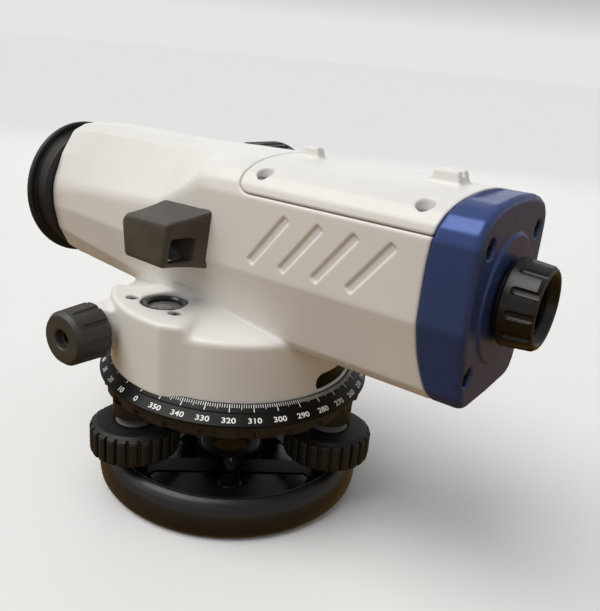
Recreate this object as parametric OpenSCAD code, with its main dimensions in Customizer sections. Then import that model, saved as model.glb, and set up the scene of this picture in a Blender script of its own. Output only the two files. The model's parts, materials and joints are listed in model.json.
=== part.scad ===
// Automatic level (surveying instrument) with tribrach base, graduated circle,
// tangent drive, focus drive, compensator and adjustable eyepiece.
// Millimetres, +Z up, +X along the line of sight, +Y to the observer's left.
// The origin is the mouth of the tripod thread in the underside of the base.

/* [Base] */
// Largest radius of the base dish
base_r = 54.2; // [53:0.1:56]
// Height of the base dish rim
rim_z = 16; // [15:0.5:17]
// Wall radius of the tripod thread (5/8 inch thread)
tripod_r = 7.94;
// Radius of the circle the three foot screws stand on
foot_circle_r = 43.5;
// Direction of the first foot screw, degrees from the line of sight
foot_angle = 71; // [0:1:119]
// Radius of a foot screw knob
foot_knob_r = 17.2; // [15:0.1:17.4]
// Ribs round a foot screw knob
foot_knob_ribs = 24; // [16:1:30]

/* [Circle and drum] */
// Outer radius of the graduated circle
circle_r = 54; // [53.6:0.1:55]
// Finger notches round the circle
circle_notches = 24; // [12:1:30]
// Outer radius of the drum under the telescope
drum_r = 46.7;
// Length of a tangent knob
tangent_knob_l = 14.3; // [13:0.1:15]

/* [Telescope] */
// Height of the line of sight above the tripod head
axis_z = 104.2;
// Half width of the telescope box
box_half_w = 29.3; // [28.8:0.1:30]
// Radius of the flange of the objective hood
hood_r = 29.2; // [28.6:0.1:30]
// Radius of the focus knob
focus_knob_r = 21; // [16:0.5:21.5]
// Ribs round the focus knob
focus_knob_ribs = 36; // [20:2:40]
// Radius of the eyepiece ring at its base
eye_ring_r = 14.2; // [13.5:0.1:15]

/* [Hidden] */
$fn = 96;

e = 0.01;              // small overlap of one cutting shape with another
run_gap = 0.05;        // radial clearance of a running fit

white = [0.92, 0.92, 0.90];
blue = [0.18, 0.23, 0.40];
black = [0.10, 0.10, 0.11];
dark = [0.17, 0.17, 0.18];
grey = [0.62, 0.62, 0.63];
steel = [0.70, 0.71, 0.73];
brass = [0.78, 0.62, 0.32];
clear = [0.75, 0.85, 0.90, 0.35];

foot_angles = [foot_angle, foot_angle + 120, foot_angle + 240];
plate_screw_r = foot_circle_r / 2;

ball_r = 4;
ball_z = 8.5;
dish_floor_z = 4;
dish_inner_r = 47.5;
stem_r = 3.5;
knob_top_z = 32.5;
knob_bottom_z = 20.2;
tip_top_z = 15;
stem_top_z = 40;
arm_z0 = 35.6;
arm_z1 = 41.2;
bush_r = 5.5;

spindle_r = 6;
sleeve_r = 8;
hub_r = 10;
hub_top_z = 70;
circle_journal_r = 17;

circle_z0 = 42;
circle_top_z = 53.4;
circle_inner_r = 47.1;

skirt_z = 52;
worm_x = 27.5;
worm_z = 67.5;
worm_wheel_r = 24.2;
worm_r = 3.2;
boss_root_y = 34;
tangent_boss_y = 46.4;
tangent_knob_y = 49.7;
tangent_knob_r = 10;
tangent_bore_r = 5;
tangent_shaft_r = 2.5;
tangent_recess = 3;

vial_x = 9.5;
vial_y = 31.5;
vial_pad_z = 79.5;
vial_screw_angles = [28, 152];
vial_screw_r = 12.5;
window_angle = 187;
window_half_w = 11;

box_rear_x = -89.5;
box_front_x = -10;
ridge_top_x = -2;
ridge_middle_x = 7;
shoulder_x = 20;
barrel_x = 70;
front_x = 87;
seam_z = 125.3;
lid_z = 125.6;
cover_front_x = -19;
barrel_r = 19.8;
cavity_front_x = -12;
floor_z = 76;

cover_rear_x = -105;
cover_screw_y = 20.5;
cover_screw_z = [123.4, 84.1];
lid_screws = [[-27, 23.2], [-27, -23.2], [-84.5, 22.6], [-84.5, -22.6]];

eye_sleeve_r = 10.5;
eye_bore_r = 9;

focus_x = 24;
focus_z = 111.5;
pinion_r = 1.95;
pendulum_x = -45;

// ---- helpers ------------------------------------------------------------

module at_foot(i)
  rotate(foot_angles[i]) translate([foot_circle_r, 0, 0]) children();

// a cylinder or cone on the line of sight from x0 to x1
module along_x(x0, x1, r, r2 = undef)
  translate([x0, 0, axis_z]) rotate([0, 90, 0])
    cylinder(h = x1 - x0, r1 = r, r2 = is_undef(r2) ? r : r2);

// a cylinder beside the line of sight, parallel to it, from x0 to x1
module along_x_at(y, z, x0, x1, r)
  translate([x0, y, z]) rotate([0, 90, 0]) cylinder(h = x1 - x0, r = r);

// a cylinder lying across the telescope from y0 to y1
module along_y(x, z, y0, y1, r)
  translate([x, y0, z]) rotate([-90, 0, 0]) cylinder(h = y1 - y0, r = r);

module tube(z0, z1, r_out, r_in)
  translate([0, 0, z0]) difference() {
    cylinder(h = z1 - z0, r = r_out);
    translate([0, 0, -1]) cylinder(h = z1 - z0 + 2, r = r_in);
  }

// a knob with narrow grooves round it, standing on z = 0
module grooved_knob(h, r_bottom, r_top, chamfer, grooves, groove_r, bore_r, g0, g1)
  difference() {
    union() {
      cylinder(h = h - chamfer, r1 = r_bottom, r2 = r_top);
      translate([0, 0, h - chamfer]) cylinder(h = chamfer, r1 = r_top, r2 = r_top - chamfer);
    }
    translate([0, 0, -1]) cylinder(h = h + 2, r = bore_r);
    for (k = [0:grooves - 1])
      rotate(k * 360 / grooves) translate([(r_bottom + r_top) / 2 + 0.3 * groove_r, 0, g0])
        cylinder(h = g1 - g0, r = groove_r, $fn = 16);
  }

function mirrored(half) =
  concat(half, [for (k = [len(half) - 1:-1:0]) if (half[k][0] > 0) [-half[k][0], half[k][1]]]);

// a thin slice of the telescope body at x, from half a section of [y, z] points
module slice(x, half)
  translate([x, 0, 0]) rotate([90, 0, 90]) linear_extrude(height = e) polygon(mirrored(half));

// half sections of the telescope body, from the top round to the bottom
function box_section(inset = 0) = [
  [0, 136.3 - inset], [8, 136 - inset], [15, 135.2 - inset], [20, 134 - inset], [25 - inset, 131.8 - inset],
  [28.2 - inset, 128.4 - inset], [box_half_w - inset, lid_z], [box_half_w - inset, 99],
  [23 - inset, 76.5], [20.5 - inset, 73.2 + inset], [17 - inset, 72 + inset], [0, 71.6 + inset]];
ridge_top_section = [
  [0, 136.2], [8, 135.9], [14.5, 134.9], [21, 132.8], [27, 129.6], [28.4, 127], [28.9, 124], [28.7, 99],
  [22.7, 77.7], [19.5, 74], [15, 72.5], [0, 72.1]];
ridge_middle_section = [
  [0, 136.1], [7, 135.7], [13, 134.2], [20.8, 128.8], [27.5, 122], [28, 119.5], [28.1, 117], [28, 98.6],
  [22.4, 79], [18.5, 74.8], [13, 73], [0, 72.5]];
shoulder_section = [
  [0, 136], [6, 135.5], [12, 133.4], [19.4, 124], [26.4, 114.8], [27, 112.5], [27.1, 110.5], [27, 98],
  [22, 80.5], [17.5, 75.5], [11, 73.4], [0, 73]];
barrel_section = [
  [0, 135.9], [6, 135.2], [11.6, 132.9], [17.3, 122.7], [22.8, 112.3], [23.5, 110], [23.7, 108], [23.7, 100],
  [20.8, 87.6], [15.6, 79.3], [9, 76], [0, 75.3]];
front_section = [
  [0, 134], [5.6, 133.6], [11.4, 131], [17.8, 121.7], [21.6, 112], [22.4, 109], [22.8, 105.6],
  [22.5, 99.4], [20.4, 90.4], [15.5, 81.6], [8.7, 76.8], [0, 75.9]];

// the telescope body: sections joined one to the next
module body_outer() {
  rings = [[box_rear_x, box_section()], [box_front_x, box_section()], [ridge_top_x, ridge_top_section],
           [ridge_middle_x, ridge_middle_section], [shoulder_x, shoulder_section],
           [barrel_x, barrel_section], [front_x, front_section]];
  n = len(mirrored(front_section));
  points = [for (ring = rings) for (p = mirrored(ring[1])) [ring[0], p[0], p[1]]];
  sides = [for (k = [0:len(rings) - 2]) for (j = [0:n - 1]) for (half = [0, 1])
    half == 0 ? [k * n + j, (k + 1) * n + (j + 1) % n, (k + 1) * n + j]
              : [k * n + j, k * n + (j + 1) % n, (k + 1) * n + (j + 1) % n]];
  rear_end = [for (j = [n - 1:-1:0]) j];
  front_end = [for (j = [0:n - 1]) (len(rings) - 1) * n + j];
  polyhedron(points, concat(sides, [rear_end, front_end]));
}

module lid_region()
  translate([box_rear_x - 1, -40, seam_z]) cube([cover_front_x - box_rear_x + 1, 80, 30]);

// ---- base ---------------------------------------------------------------

module base_plate() color(black)
  difference() {
    union() {
      difference() {
        rotate_extrude() polygon([
          [0, 0], [51.2, 0], [52.8, 0.7], [53.8, 2.2], [base_r, 5], [base_r, 8.4], [53.6, 11], [52.6, 13.2],
          [51.2, 15], [50, 15.8], [48.8, rim_z], [48, rim_z - 0.4], [dish_inner_r, rim_z - 1.4],
          [0, rim_z - 1.4]]);
        translate([0, 0, dish_floor_z]) cylinder(h = 20, r = dish_inner_r);
      }
      cylinder(h = 11, r = 13);
      for (i = [0:2]) at_foot(i) cylinder(h = 9, r = 6.2);
      for (i = [0:2]) rotate(foot_angles[i] + 60) translate([plate_screw_r, 0, 0]) cylinder(h = 11.2, r = 4);
    }
    translate([0, 0, -1]) cylinder(h = 14, r = tripod_r);
    for (i = [0:2]) {
      at_foot(i) translate([0, 0, ball_z - ball_r]) cylinder(h = 10, r = ball_r + run_gap);
      at_foot(i) translate([0, 0, 9]) cylinder(h = 2.4, r = 6.7);
      at_foot(i) translate([0, 0, 9]) cylinder(h = 10, r = 5.7);
      rotate(foot_angles[i] + 60) translate([plate_screw_r, 0, 5]) cylinder(h = 10, r = 1.5);
    }
  }

module spring_plate() color(steel)
  translate([0, 0, 11.2]) difference() {
    intersection() {
      cylinder(h = 1, r = 46.8);
      union() {
        for (i = [0:2]) {
          at_foot(i) cylinder(h = 1, r = 9.5);
          rotate(foot_angles[i] + 60) translate([plate_screw_r - 4.5, -37.7, 0]) cube([9, 75.4, 1]);
        }
      }
    }
    for (i = [0:2]) {
      at_foot(i) translate([0, 0, -1]) cylinder(h = 3, r = 5.4);
      rotate(foot_angles[i] + 60) translate([plate_screw_r, 0, -1]) cylinder(h = 3, r = 1.5);
    }
  }

module spring_plate_screws() color(steel)
  for (i = [0:2]) rotate(foot_angles[i] + 60) translate([plate_screw_r, 0, 0]) difference() {
    union() {
      translate([0, 0, 6]) cylinder(h = 7, r = 1.45);
      translate([0, 0, 12.2]) cylinder(h = 1.8, r = 2.8);
    }
    translate([-2.2, -0.4, 13.3]) cube([4.4, 0.8, 2]);
  }

module foot_ball(i) color(steel)
  at_foot(i) translate([0, 0, ball_z]) sphere(r = ball_r);

// ---- foot screws --------------------------------------------------------

module foot_tip(i) color(dark)
  at_foot(i) difference() {
    union() {
      translate([0, 0, 9.6]) cylinder(h = 1.2, r = 6.1);
      translate([0, 0, 9.6]) cylinder(h = tip_top_z - 9.6, r = 4.9);
    }
    translate([0, 0, ball_z]) sphere(r = ball_r + run_gap);
    translate([0, 0, 13.2]) cylinder(h = 4, r = 1.55);
  }

module foot_screw(i) color(steel)
  at_foot(i) {
    translate([0, 0, 13.3]) cylinder(h = 3, r = 1.5);
    translate([0, 0, tip_top_z + run_gap]) cylinder(h = stem_top_z - tip_top_z - run_gap, r = stem_r);
  }

module foot_knob(i) color(black)
  at_foot(i) translate([0, 0, knob_bottom_z])
    grooved_knob(knob_top_z - knob_bottom_z, foot_knob_r - 0.5, foot_knob_r, 0.8, foot_knob_ribs, 0.75,
                 stem_r, -1, 20);

module foot_collar(i) color(grey)
  at_foot(i) translate([0, 0, knob_top_z]) difference() {
    cylinder(h = 1.5, r1 = 7.4, r2 = 4.8);
    translate([0, 0, -1]) cylinder(h = 4, r = stem_r);
  }

// ---- tribrach -----------------------------------------------------------

module tribrach() color(black)
  difference() {
    union() {
      rotate_extrude() polygon([
        [0, 19], [12, 19], [12, arm_z0], [22, arm_z0], [22, circle_z0 + 0.15],
        [circle_journal_r, circle_z0 + 0.15],
        [circle_journal_r, 47], [13, 47], [13, 64], [hub_r, 64], [hub_r, hub_top_z], [0, hub_top_z]]);
      for (i = [0:2]) {
        at_foot(i) translate([0, 0, arm_z0]) cylinder(h = arm_z1 - arm_z0, r = 8.5);
        rotate(foot_angles[i]) translate([15, -7, arm_z0 + 0.6])
          cube([foot_circle_r - 15, 14, arm_z1 - arm_z0 - 1]);
      }
    }
    translate([0, 0, 21]) cylinder(h = 60, r = sleeve_r);
    for (i = [0:2]) at_foot(i) translate([0, 0, arm_z0 - 1]) cylinder(h = 10, r = bush_r);
  }

module foot_screw_bushes() color(brass)
  for (i = [0:2]) at_foot(i) tube(arm_z0, arm_z1, bush_r, stem_r + run_gap);

module spindle_sleeve() color(brass)
  tube(22, hub_top_z, sleeve_r, spindle_r + run_gap);

// ---- graduated circle and clutch ----------------------------------------

module horizontal_circle() color(black)
  difference() {
    union() {
      rotate_extrude() polygon([
        [circle_inner_r, circle_z0], [52, circle_z0], [52.4, 42.6], [52.6, 46.6], [53.4, 47.1],
        [circle_r, 47.6],
        [circle_r, 48.2], [53.6, 48.5], [50.4, 51.2], [50.2, 51.5], [47.5, circle_top_z],
        [circle_inner_r, circle_top_z]]);
      tube(circle_z0 + 0.2, 45, circle_inner_r + 1, circle_journal_r + run_gap);
    }
    for (k = [0:circle_notches - 1])
      rotate(k * 360 / circle_notches) translate([51.7, -3.2, circle_z0 - 1]) cube([3, 6.4, 4]);
  }

module clutch_washer() color(steel)
  tube(64, 65 - run_gap, 15, hub_r + run_gap);

module worm_wheel() color(brass)
  difference() {
    tube(65, 69.9, worm_wheel_r, hub_r + run_gap);
    for (k = [0:89])
      rotate(k * 4) translate([worm_wheel_r + 0.05, 0, 64]) cylinder(h = 8, r = 0.42, $fn = 16);
  }

// ---- housing ------------------------------------------------------------

module vial_pad()
  hull() {
    translate([0, 0, 54]) linear_extrude(height = 18) intersection() {
      circle(r = 49.6);
      translate([vial_x, vial_y]) circle(r = 29);
    }
    translate([0, 0, 54]) linear_extrude(height = vial_pad_z - 55) intersection() {
      circle(r = 49.4);
      translate([vial_x, vial_y]) circle(r = 19.6);
    }
    translate([0, 0, 54]) linear_extrude(height = vial_pad_z - 54) intersection() {
      circle(r = 48.6);
      translate([vial_x, vial_y]) circle(r = 18.8);
    }
  }

module drum_outer()
  rotate_extrude() polygon([
    [0, skirt_z], [drum_r, skirt_z], [drum_r, 73.8], [46.3, 75.1], [45, 75.9],
    [36, 78.1], [26, 81], [0, 81]]);

module housing_solid() {
  body_outer();
  drum_outer();
  vial_pad();
  for (s = [-1, 1]) {
    y0 = s > 0 ? boss_root_y : -tangent_boss_y;
    along_y(worm_x, worm_z, y0, y0 + tangent_boss_y - boss_root_y, 7.6);
    translate([worm_x - 6, y0, 60]) cube([11.8, tangent_boss_y - boss_root_y, 15.6]);
  }
  along_y(focus_x, focus_z, -32, -20, 12);
}

module housing() color(white)
  difference() {
    housing_solid();
    lid_region();
    translate([0, 0, skirt_z - 1]) cylinder(h = 74 - skirt_z, r = 43.5);
    translate([box_rear_x - 1, -18.5, floor_z]) cube([cavity_front_x - box_rear_x + 1, 37, 30]);
    difference() {
      translate([box_rear_x - 1, -24.8, 88]) cube([cavity_front_x - box_rear_x + 1, 49.6, 40]);
      for (p = lid_screws) translate([p[0], p[1], 100]) cylinder(h = 60, r = 4.2);
      for (s = [-1, 1]) along_x_at(s * cover_screw_y, cover_screw_z[0], box_rear_x - 2, box_rear_x + 9, 4.2);
    }
    for (p = lid_screws) translate([p[0], p[1], 112]) cylinder(h = 20, r = 1.3);
    along_x(cavity_front_x - 1, front_x + 1, barrel_r);
    translate([0, 0, 70]) cylinder(h = 12, r = 7);
    // vial pocket, opened to the drum below
    translate([vial_x, vial_y, 60]) cylinder(h = 17.5, r = 11.2);
    translate([vial_x, vial_y, 60]) cylinder(h = 11.8, r = 15.2);
    translate([vial_x, vial_y, 70]) cylinder(h = 20, r = 8.9);
    for (a = vial_screw_angles)
      translate([vial_x, vial_y, 0]) rotate(a) translate([vial_screw_r, 0, 0]) {
        translate([0, 0, 65]) cylinder(h = 20, r = 1.3);
        translate([0, 0, vial_pad_z - 2.2]) cylinder(h = 5, r = 2.3);
      }
    for (s = [-1, 1])
      along_y(worm_x, worm_z, s > 0 ? 30 : -60, s > 0 ? 60 : -30, tangent_bore_r);
    along_y(focus_x, focus_z, -33, -20, 5);
    along_y(focus_x, focus_z, -21, -8, 3.3);
    // reading window of the circle
    rotate(window_angle) {
      translate([38, -window_half_w, 54]) cube([12, 2 * window_half_w, 6]);
      for (s = [-1, 1]) translate([38, s * window_half_w, 57]) rotate([0, 90, 0]) cylinder(h = 12, r = 3);
    }
    // four slanted grooves on each side
    for (s = [-1, 1]) for (k = [0:3])
      translate([-33.8 - 12.9 * k, s * (box_half_w + 0.5), 112.3]) rotate([0, 36.5, 0])
        translate([-1.3, -1.3, -10.5]) cube([2.6, 2.6, 21]);
    for (y = [-cover_screw_y, cover_screw_y]) for (z = cover_screw_z)
      along_x_at(y, z, box_rear_x - 1, box_rear_x + 8, 1.3);
  }

module spindle() color(steel) {
  translate([0, 0, 23]) cylinder(h = 58.9, r = spindle_r);
  translate([0, 0, hub_top_z + run_gap]) cylinder(h = 3 - run_gap, r = 9);
  translate([0, 0, 72]) cylinder(h = 10, r = 7);
}

module lid_outer() {
  half = concat([for (p = box_section()) if (p[1] >= lid_z) p], [[0, lid_z]]);
  hull() {
    slice(box_rear_x, half);
    slice(cover_front_x - 0.3, half);
  }
  // front and rear sights
  translate([-29.5, 0, 0]) sight(8.4, 5.4, 5, 140.2);
  translate([-81, 0, 0]) sight(11.5, 8.5, 9, 140.6);
}

module sight(base_l, top_l, w, top_z)
  hull() {
    translate([-base_l / 2, -w / 2, 135]) cube([base_l, w, e]);
    translate([-top_l / 2, -w / 2 + 0.8, top_z - 1]) cube([top_l, w - 1.6, 1]);
  }

module top_cover() color(white)
  difference() {
    lid_outer();
    difference() {
      translate([box_rear_x + 2.4, -25.6, seam_z - 2]) cube([cover_front_x - box_rear_x - 5, 51.2, 5.5]);
      for (p = lid_screws) translate([p[0], p[1], 120]) cylinder(h = 20, r = 4.2);
    }
    difference() {
      translate([box_rear_x + 2.4, -21, seam_z]) cube([cover_front_x - box_rear_x - 5, 42, 7.4]);
      for (p = lid_screws) translate([p[0], p[1], 120]) cylinder(h = 20, r = 4.2);
    }
    for (p = lid_screws) {
      translate([p[0], p[1], 128.6]) cylinder(h = 20, r = 2.7);
      translate([p[0], p[1], 120]) cylinder(h = 20, r = 1.4);
    }
    // sighting slot of the rear sight
    translate([-90, -0.7, 138.2]) cube([18, 1.4, 5]);
    translate([-87, -1.8, 139.3]) cube([3, 3.6, 3]);
  }

module top_cover_screws() color(steel)
  for (p = lid_screws) translate([p[0], p[1], 0]) difference() {
    union() {
      translate([0, 0, 114]) cylinder(h = 15, r = 1.25);
      translate([0, 0, 128.6]) cylinder(h = 1.8, r = 2.5);
    }
    translate([-2, -0.35, 129.8]) cube([4, 0.7, 2]);
    translate([-0.35, -2, 129.8]) cube([0.7, 4, 2]);
  }

// ---- rear cover ---------------------------------------------------------

module end_cover() color(blue)
  difference() {
    union() {
      hull() {
        slice(cover_rear_x + 2.2, box_section());
        slice(box_rear_x - e, box_section());
        slice(cover_rear_x + 0.7, box_section(1.0));
        slice(cover_rear_x, box_section(2.2));
      }
      along_x(cover_rear_x - 0.8, cover_rear_x + 1, 20.5);
    }
    difference() {
      translate([cover_rear_x + 3, -24.5, 88]) cube([20, 49, 42]);
      for (y = [-cover_screw_y, cover_screw_y]) for (z = cover_screw_z) along_x_at(y, z, -110, -80, 4.4);
    }
    translate([cover_rear_x + 3, -15, 76]) cube([20, 30, 20]);
    along_x(cover_rear_x - 5, cover_rear_x + 10, eye_sleeve_r);
    for (y = [-cover_screw_y, cover_screw_y]) for (z = cover_screw_z) {
      along_x_at(y, z, cover_rear_x - 3, cover_rear_x + 2.6, 3);
      along_x_at(y, z, cover_rear_x - 3, cover_rear_x + 20, 1.5);
    }
  }

module end_cover_screws() color(dark)
  for (y = [-cover_screw_y, cover_screw_y]) for (z = cover_screw_z) difference() {
    union() {
      along_x_at(y, z, cover_rear_x + 1, cover_rear_x + 2.6, 2.7);
      along_x_at(y, z, cover_rear_x + 2, box_rear_x + 3.5, 1.25);
    }
    translate([cover_rear_x + 1, y - 2, z - 0.35]) cube([0.8, 4, 0.7]);
    translate([cover_rear_x + 1, y - 0.35, z - 2]) cube([0.8, 0.7, 4]);
  }

// ---- objective ----------------------------------------------------------

module objective_hood() color(black)
  difference() {
    union() {
      hull() {
        slice(front_x, [for (p = front_section) [p[0] * 0.98, axis_z + (p[1] - axis_z) * 0.98]]);
        along_x(front_x + 4.8, front_x + 5, 26.2);
      }
      along_x(front_x + 4.9, front_x + 6.6, 26.6);
      along_x(front_x + 6.6, front_x + 9, hood_r);
      along_x(front_x - 3, front_x, barrel_r - run_gap);
    }
    along_x(front_x - 4, front_x + 2, 17.6);
    along_x(front_x + 2 - e, front_x + 9.5, 17.6, 24.5);
  }

module objective_cell() color(dark)
  difference() {
    along_x(70, 83.9, barrel_r - 0.03);
    along_x(69, 85, 15.4);
    along_x(78.8, 85, 16.5);
    along_x(69, 75.2, 16.5);
  }

// a lens of radius r centred at x, half as thick as t in the middle, with faces of radius bulge
module lens(x, r, t, bulge)
  translate([x, 0, axis_z]) rotate([0, 90, 0]) rotate_extrude() polygon(concat(
    [for (k = [0:8]) [r * k / 8, t - bulge + sqrt(bulge * bulge - pow(r * k / 8, 2))]],
    [for (k = [8:-1:0]) [r * k / 8, -t + bulge - sqrt(bulge * bulge - pow(r * k / 8, 2))]]));

module objective_front_lens() color(clear) lens(81.2, 16.45, 2.4, 70);

module objective_rear_lens() color(clear) lens(72.9, 16.45, 2.1, 90);

// ---- circular vial ------------------------------------------------------

module vial_case() color(black)
  translate([vial_x, vial_y, 0]) difference() {
    union() {
      translate([0, 0, 70.4]) cylinder(h = 1.3, r = 14.6);
      translate([0, 0, 70.4]) cylinder(h = 6.8, r = 11);
      translate([0, 0, 77]) cylinder(h = 1.4, r = 8.7);
    }
    translate([0, 0, 71.9]) cylinder(h = 12, r = 7.4);
    for (a = vial_screw_angles) rotate(a) translate([vial_screw_r, 0, 60]) cylinder(h = 12, r = 1.3);
  }

module vial_glass() color(clear)
  translate([vial_x, vial_y, 0]) intersection() {
    translate([0, 0, 71.9]) cylinder(h = 5.5, r = 7.4);
    translate([0, 0, 77.4 - 60]) sphere(r = 60);
  }

module vial_adjusting_screws() color(steel)
  for (a = vial_screw_angles)
    translate([vial_x, vial_y, 0]) rotate(a) translate([vial_screw_r, 0, 0]) difference() {
      union() {
        translate([0, 0, 70.4]) cylinder(h = 8, r = 1.25);
        translate([0, 0, vial_pad_z - 2.2]) cylinder(h = 1.4, r = 2.15);
      }
      translate([0, 0, vial_pad_z - 1.8]) cylinder(h = 2, r = 1, $fn = 6);
    }

// ---- viewing prism ------------------------------------------------------

prism_cut_y = 30;

module prism_housing() color(black)
  difference() {
    hull() {
      translate([-4.2, 44.2, 0]) prism_face(23, 97, 113.2, 113);
      translate([-9.2, 26, 0]) prism_face(31, 94.8, 117.2, 114.6);
    }
    body_outer();
    translate([-14, prism_cut_y + 2, 98.2]) cube([24.5, 10.4, 9.6]);
    translate([1, prism_cut_y + 2, 90]) cube([9.5, 10.4, 12]);
  }

// outline of one end of the prism housing, rounded, higher at the rear
module prism_face(l, z0, z_rear, z_front)
  rotate([90, 0, 0]) linear_extrude(height = 0.1) hull() {
    translate([1.6, z0 + 1.6]) circle(r = 1.6, $fn = 32);
    translate([l - 1.6, z0 + 1.6]) circle(r = 1.6, $fn = 32);
    translate([2, z_rear - 2]) circle(r = 2, $fn = 32);
    translate([l - 2, z_front - 2]) circle(r = 2, $fn = 32);
  }

module viewing_prism() color(clear)
  translate([0, prism_cut_y + 12.4, 0]) rotate([90, 0, 0]) linear_extrude(height = 10.4)
    polygon([[1.2, 98.6], [9.8, 98.6], [9.8, 107.2]]);

// ---- circle window ------------------------------------------------------

module circle_window() color(clear)
  rotate(window_angle) intersection() {
    difference() {
      translate([0, 0, 53]) cylinder(h = 8, r = 43.5);
      translate([0, 0, 52]) cylinder(h = 10, r = 42.2);
    }
    translate([35, -15.5, 53.2]) cube([14, 31, 7.4]);
  }

// ---- tangent drive ------------------------------------------------------

module tangent_bushes() color(brass)
  for (s = [-1, 1]) difference() {
    along_y(worm_x, worm_z, s > 0 ? 40.3 : -tangent_boss_y, s > 0 ? tangent_boss_y : -40.3, tangent_bore_r);
    along_y(worm_x, worm_z, -60, 60, tangent_shaft_r + run_gap);
  }

module tangent_shaft() color(steel) {
  shaft_end = tangent_knob_y + tangent_knob_l - tangent_recess;
  along_y(worm_x, worm_z, -shaft_end, shaft_end, tangent_shaft_r);
  difference() {
    along_y(worm_x, worm_z, -8, 8, worm_r);
    for (k = [-6:6])
      translate([worm_x, k * 1.2 - 0.25, worm_z]) rotate([-90, 0, 0]) difference() {
        cylinder(h = 0.5, r = 5);
        translate([0, 0, -1]) cylinder(h = 3, r = 2.7);
      }
  }
}

module tangent_knob(s)
  translate([worm_x, s * tangent_knob_y, worm_z]) rotate([-s * 90, 0, 0]) difference() {
    grooved_knob(tangent_knob_l, tangent_knob_r + 0.6, tangent_knob_r, 1.6, 10, 0.95, tangent_shaft_r,
                 2.6, 20);
    translate([0, 0, tangent_knob_l - tangent_recess]) cylinder(h = tangent_recess + 1, r = 3.1);
  }

module tangent_knob_left() color(black) tangent_knob(1);

module tangent_knob_right() color(black) tangent_knob(-1);

// ---- focus drive --------------------------------------------------------

module focus_knob() color(black)
  translate([focus_x, -33, focus_z]) rotate([90, 0, 0]) difference() {
    grooved_knob(19, focus_knob_r, focus_knob_r - 0.4, 1.5, focus_knob_ribs, 0.9, 3, 2, 30);
    translate([0, 0, 17.6]) cylinder(h = 3, r = 13);
  }

module focus_shaft() color(steel) {
  along_y(focus_x, focus_z, -50.5, -20, 3);
  difference() {
    along_y(focus_x, focus_z, -20, -14.4, pinion_r);
    for (k = [0:9]) translate([focus_x, 0, focus_z]) rotate([0, k * 36, 0]) translate([pinion_r + 0.1, 0, 0])
      along_y(0, 0, -19.5, -10, 0.4);
  }
}

module focus_bush() color(brass)
  difference() {
    along_y(focus_x, focus_z, -32, -20, 5);
    along_y(focus_x, focus_z, -40, -10, 3 + run_gap);
  }

module focus_lens_cell() color(dark) {
  difference() {
    union() {
      along_x(9, 12, barrel_r - run_gap);
      along_x(36, 39, barrel_r - run_gap);
      intersection() {
        along_x(11, 37, barrel_r - run_gap);
        translate([0, -30, axis_z - 30]) cube([60, 60, 28]);
      }
    }
    along_x(8, 36, 17);
    along_x(35, 40, 13);
  }
  difference() {
    translate([11.5, -17.2, 105.5]) cube([25, 3, focus_z - pinion_r - 0.1 - 105.5]);
    for (k = [0:18]) translate([12.6 + k * 1.257, -18, focus_z - pinion_r - 0.5]) cube([0.6, 5, 2]);
  }
}

module focus_lens() color(clear)
  difference() {
    along_x(36.4, 38.6, 12.95);
    translate([36.4 - 59.4, 0, axis_z]) sphere(r = 60);
  }

// ---- compensator --------------------------------------------------------

module compensator_frame() color(dark)
  difference() {
    union() {
      translate([pendulum_x - 11, -17.6, floor_z]) cube([22, 35.2, 3]);
      for (s = [-1, 1]) translate([pendulum_x - 11, s * 16.3 - 1.3, floor_z]) cube([22, 2.6, 50]);
      for (x = [-7.5, 3.5]) translate([pendulum_x + x, -17.6, 123.5]) cube([4, 35.2, 2.5]);
    }
    for (s = [-1, 1]) along_y(pendulum_x, axis_z, s * 16.3 - 5, s * 16.3 + 5, 8);
  }

module pendulum() color(brass)
  difference() {
    translate([pendulum_x - 6.5, -13.5, 92]) cube([13, 27, 26]);
    translate([pendulum_x - 7.5, -11, 97]) cube([15, 22, 16]);
  }

module pendulum_prism() color(clear)
  translate([pendulum_x, 11, 0]) rotate([90, 0, 0]) linear_extrude(height = 22)
    polygon([[-6.4, 97], [6.4, 97], [3, 112.9], [-3, 112.9]]);

module suspension_wires() color(steel)
  for (s = [-1, 1]) for (t = [-1, 1])
    translate([pendulum_x + t * 5.5, s * 12.3, 118]) cylinder(h = 5.5, r = 0.15, $fn = 16);

// ---- eyepiece -----------------------------------------------------------

module reticle() color(clear)
  along_x(-83.6, -82.1, 8.95);

module eyepiece_sleeve() color(black)
  difference() {
    union() {
      along_x(-114, -80.5, eye_sleeve_r);
      along_x(cover_rear_x + 3, cover_rear_x + 5.4, 14);
    }
    along_x(-120, -83.6, eye_bore_r);
    along_x(-84, -82.1, eye_bore_r);
    along_x(-84, -79, 8);
  }

module eyepiece_ring() color(black)
  translate([cover_rear_x - 1.1, 0, axis_z]) rotate([0, -90, 0]) difference() {
    union() {
      cylinder(h = 1.6, r1 = eye_ring_r + 0.8, r2 = eye_ring_r);
      translate([0, 0, 1.6]) cylinder(h = 10.6 - 1.2, r1 = eye_ring_r, r2 = eye_ring_r - 0.9);
      translate([0, 0, 11]) cylinder(h = 1.2, r1 = eye_ring_r - 0.9, r2 = eye_ring_r - 2.2);
    }
    translate([0, 0, -1]) cylinder(h = 9.2, r = eye_sleeve_r + run_gap);
    cylinder(h = 10, r = 9.3);
    translate([0, 0, 9.2]) cylinder(h = 4, r1 = 9.3, r2 = 10.9);
    for (k = [0:11])
      rotate(k * 30 + 15) translate([eye_ring_r + 0.3, 0, 2.6]) cylinder(h = 8, r = 1.3);
  }

module eye_lens_barrel() color(dark)
  difference() {
    along_x(-115.6, -90, eye_bore_r - run_gap);
    along_x(-117, -89, 7);
    along_x(-117, -111.5, 7.6);
  }

module eye_lens() color(clear)
  intersection() {
    along_x(-113.9, -111.5, 7.55);
    translate([-113.9 + 18, 0, axis_z]) sphere(r = 18);
  }

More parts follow.
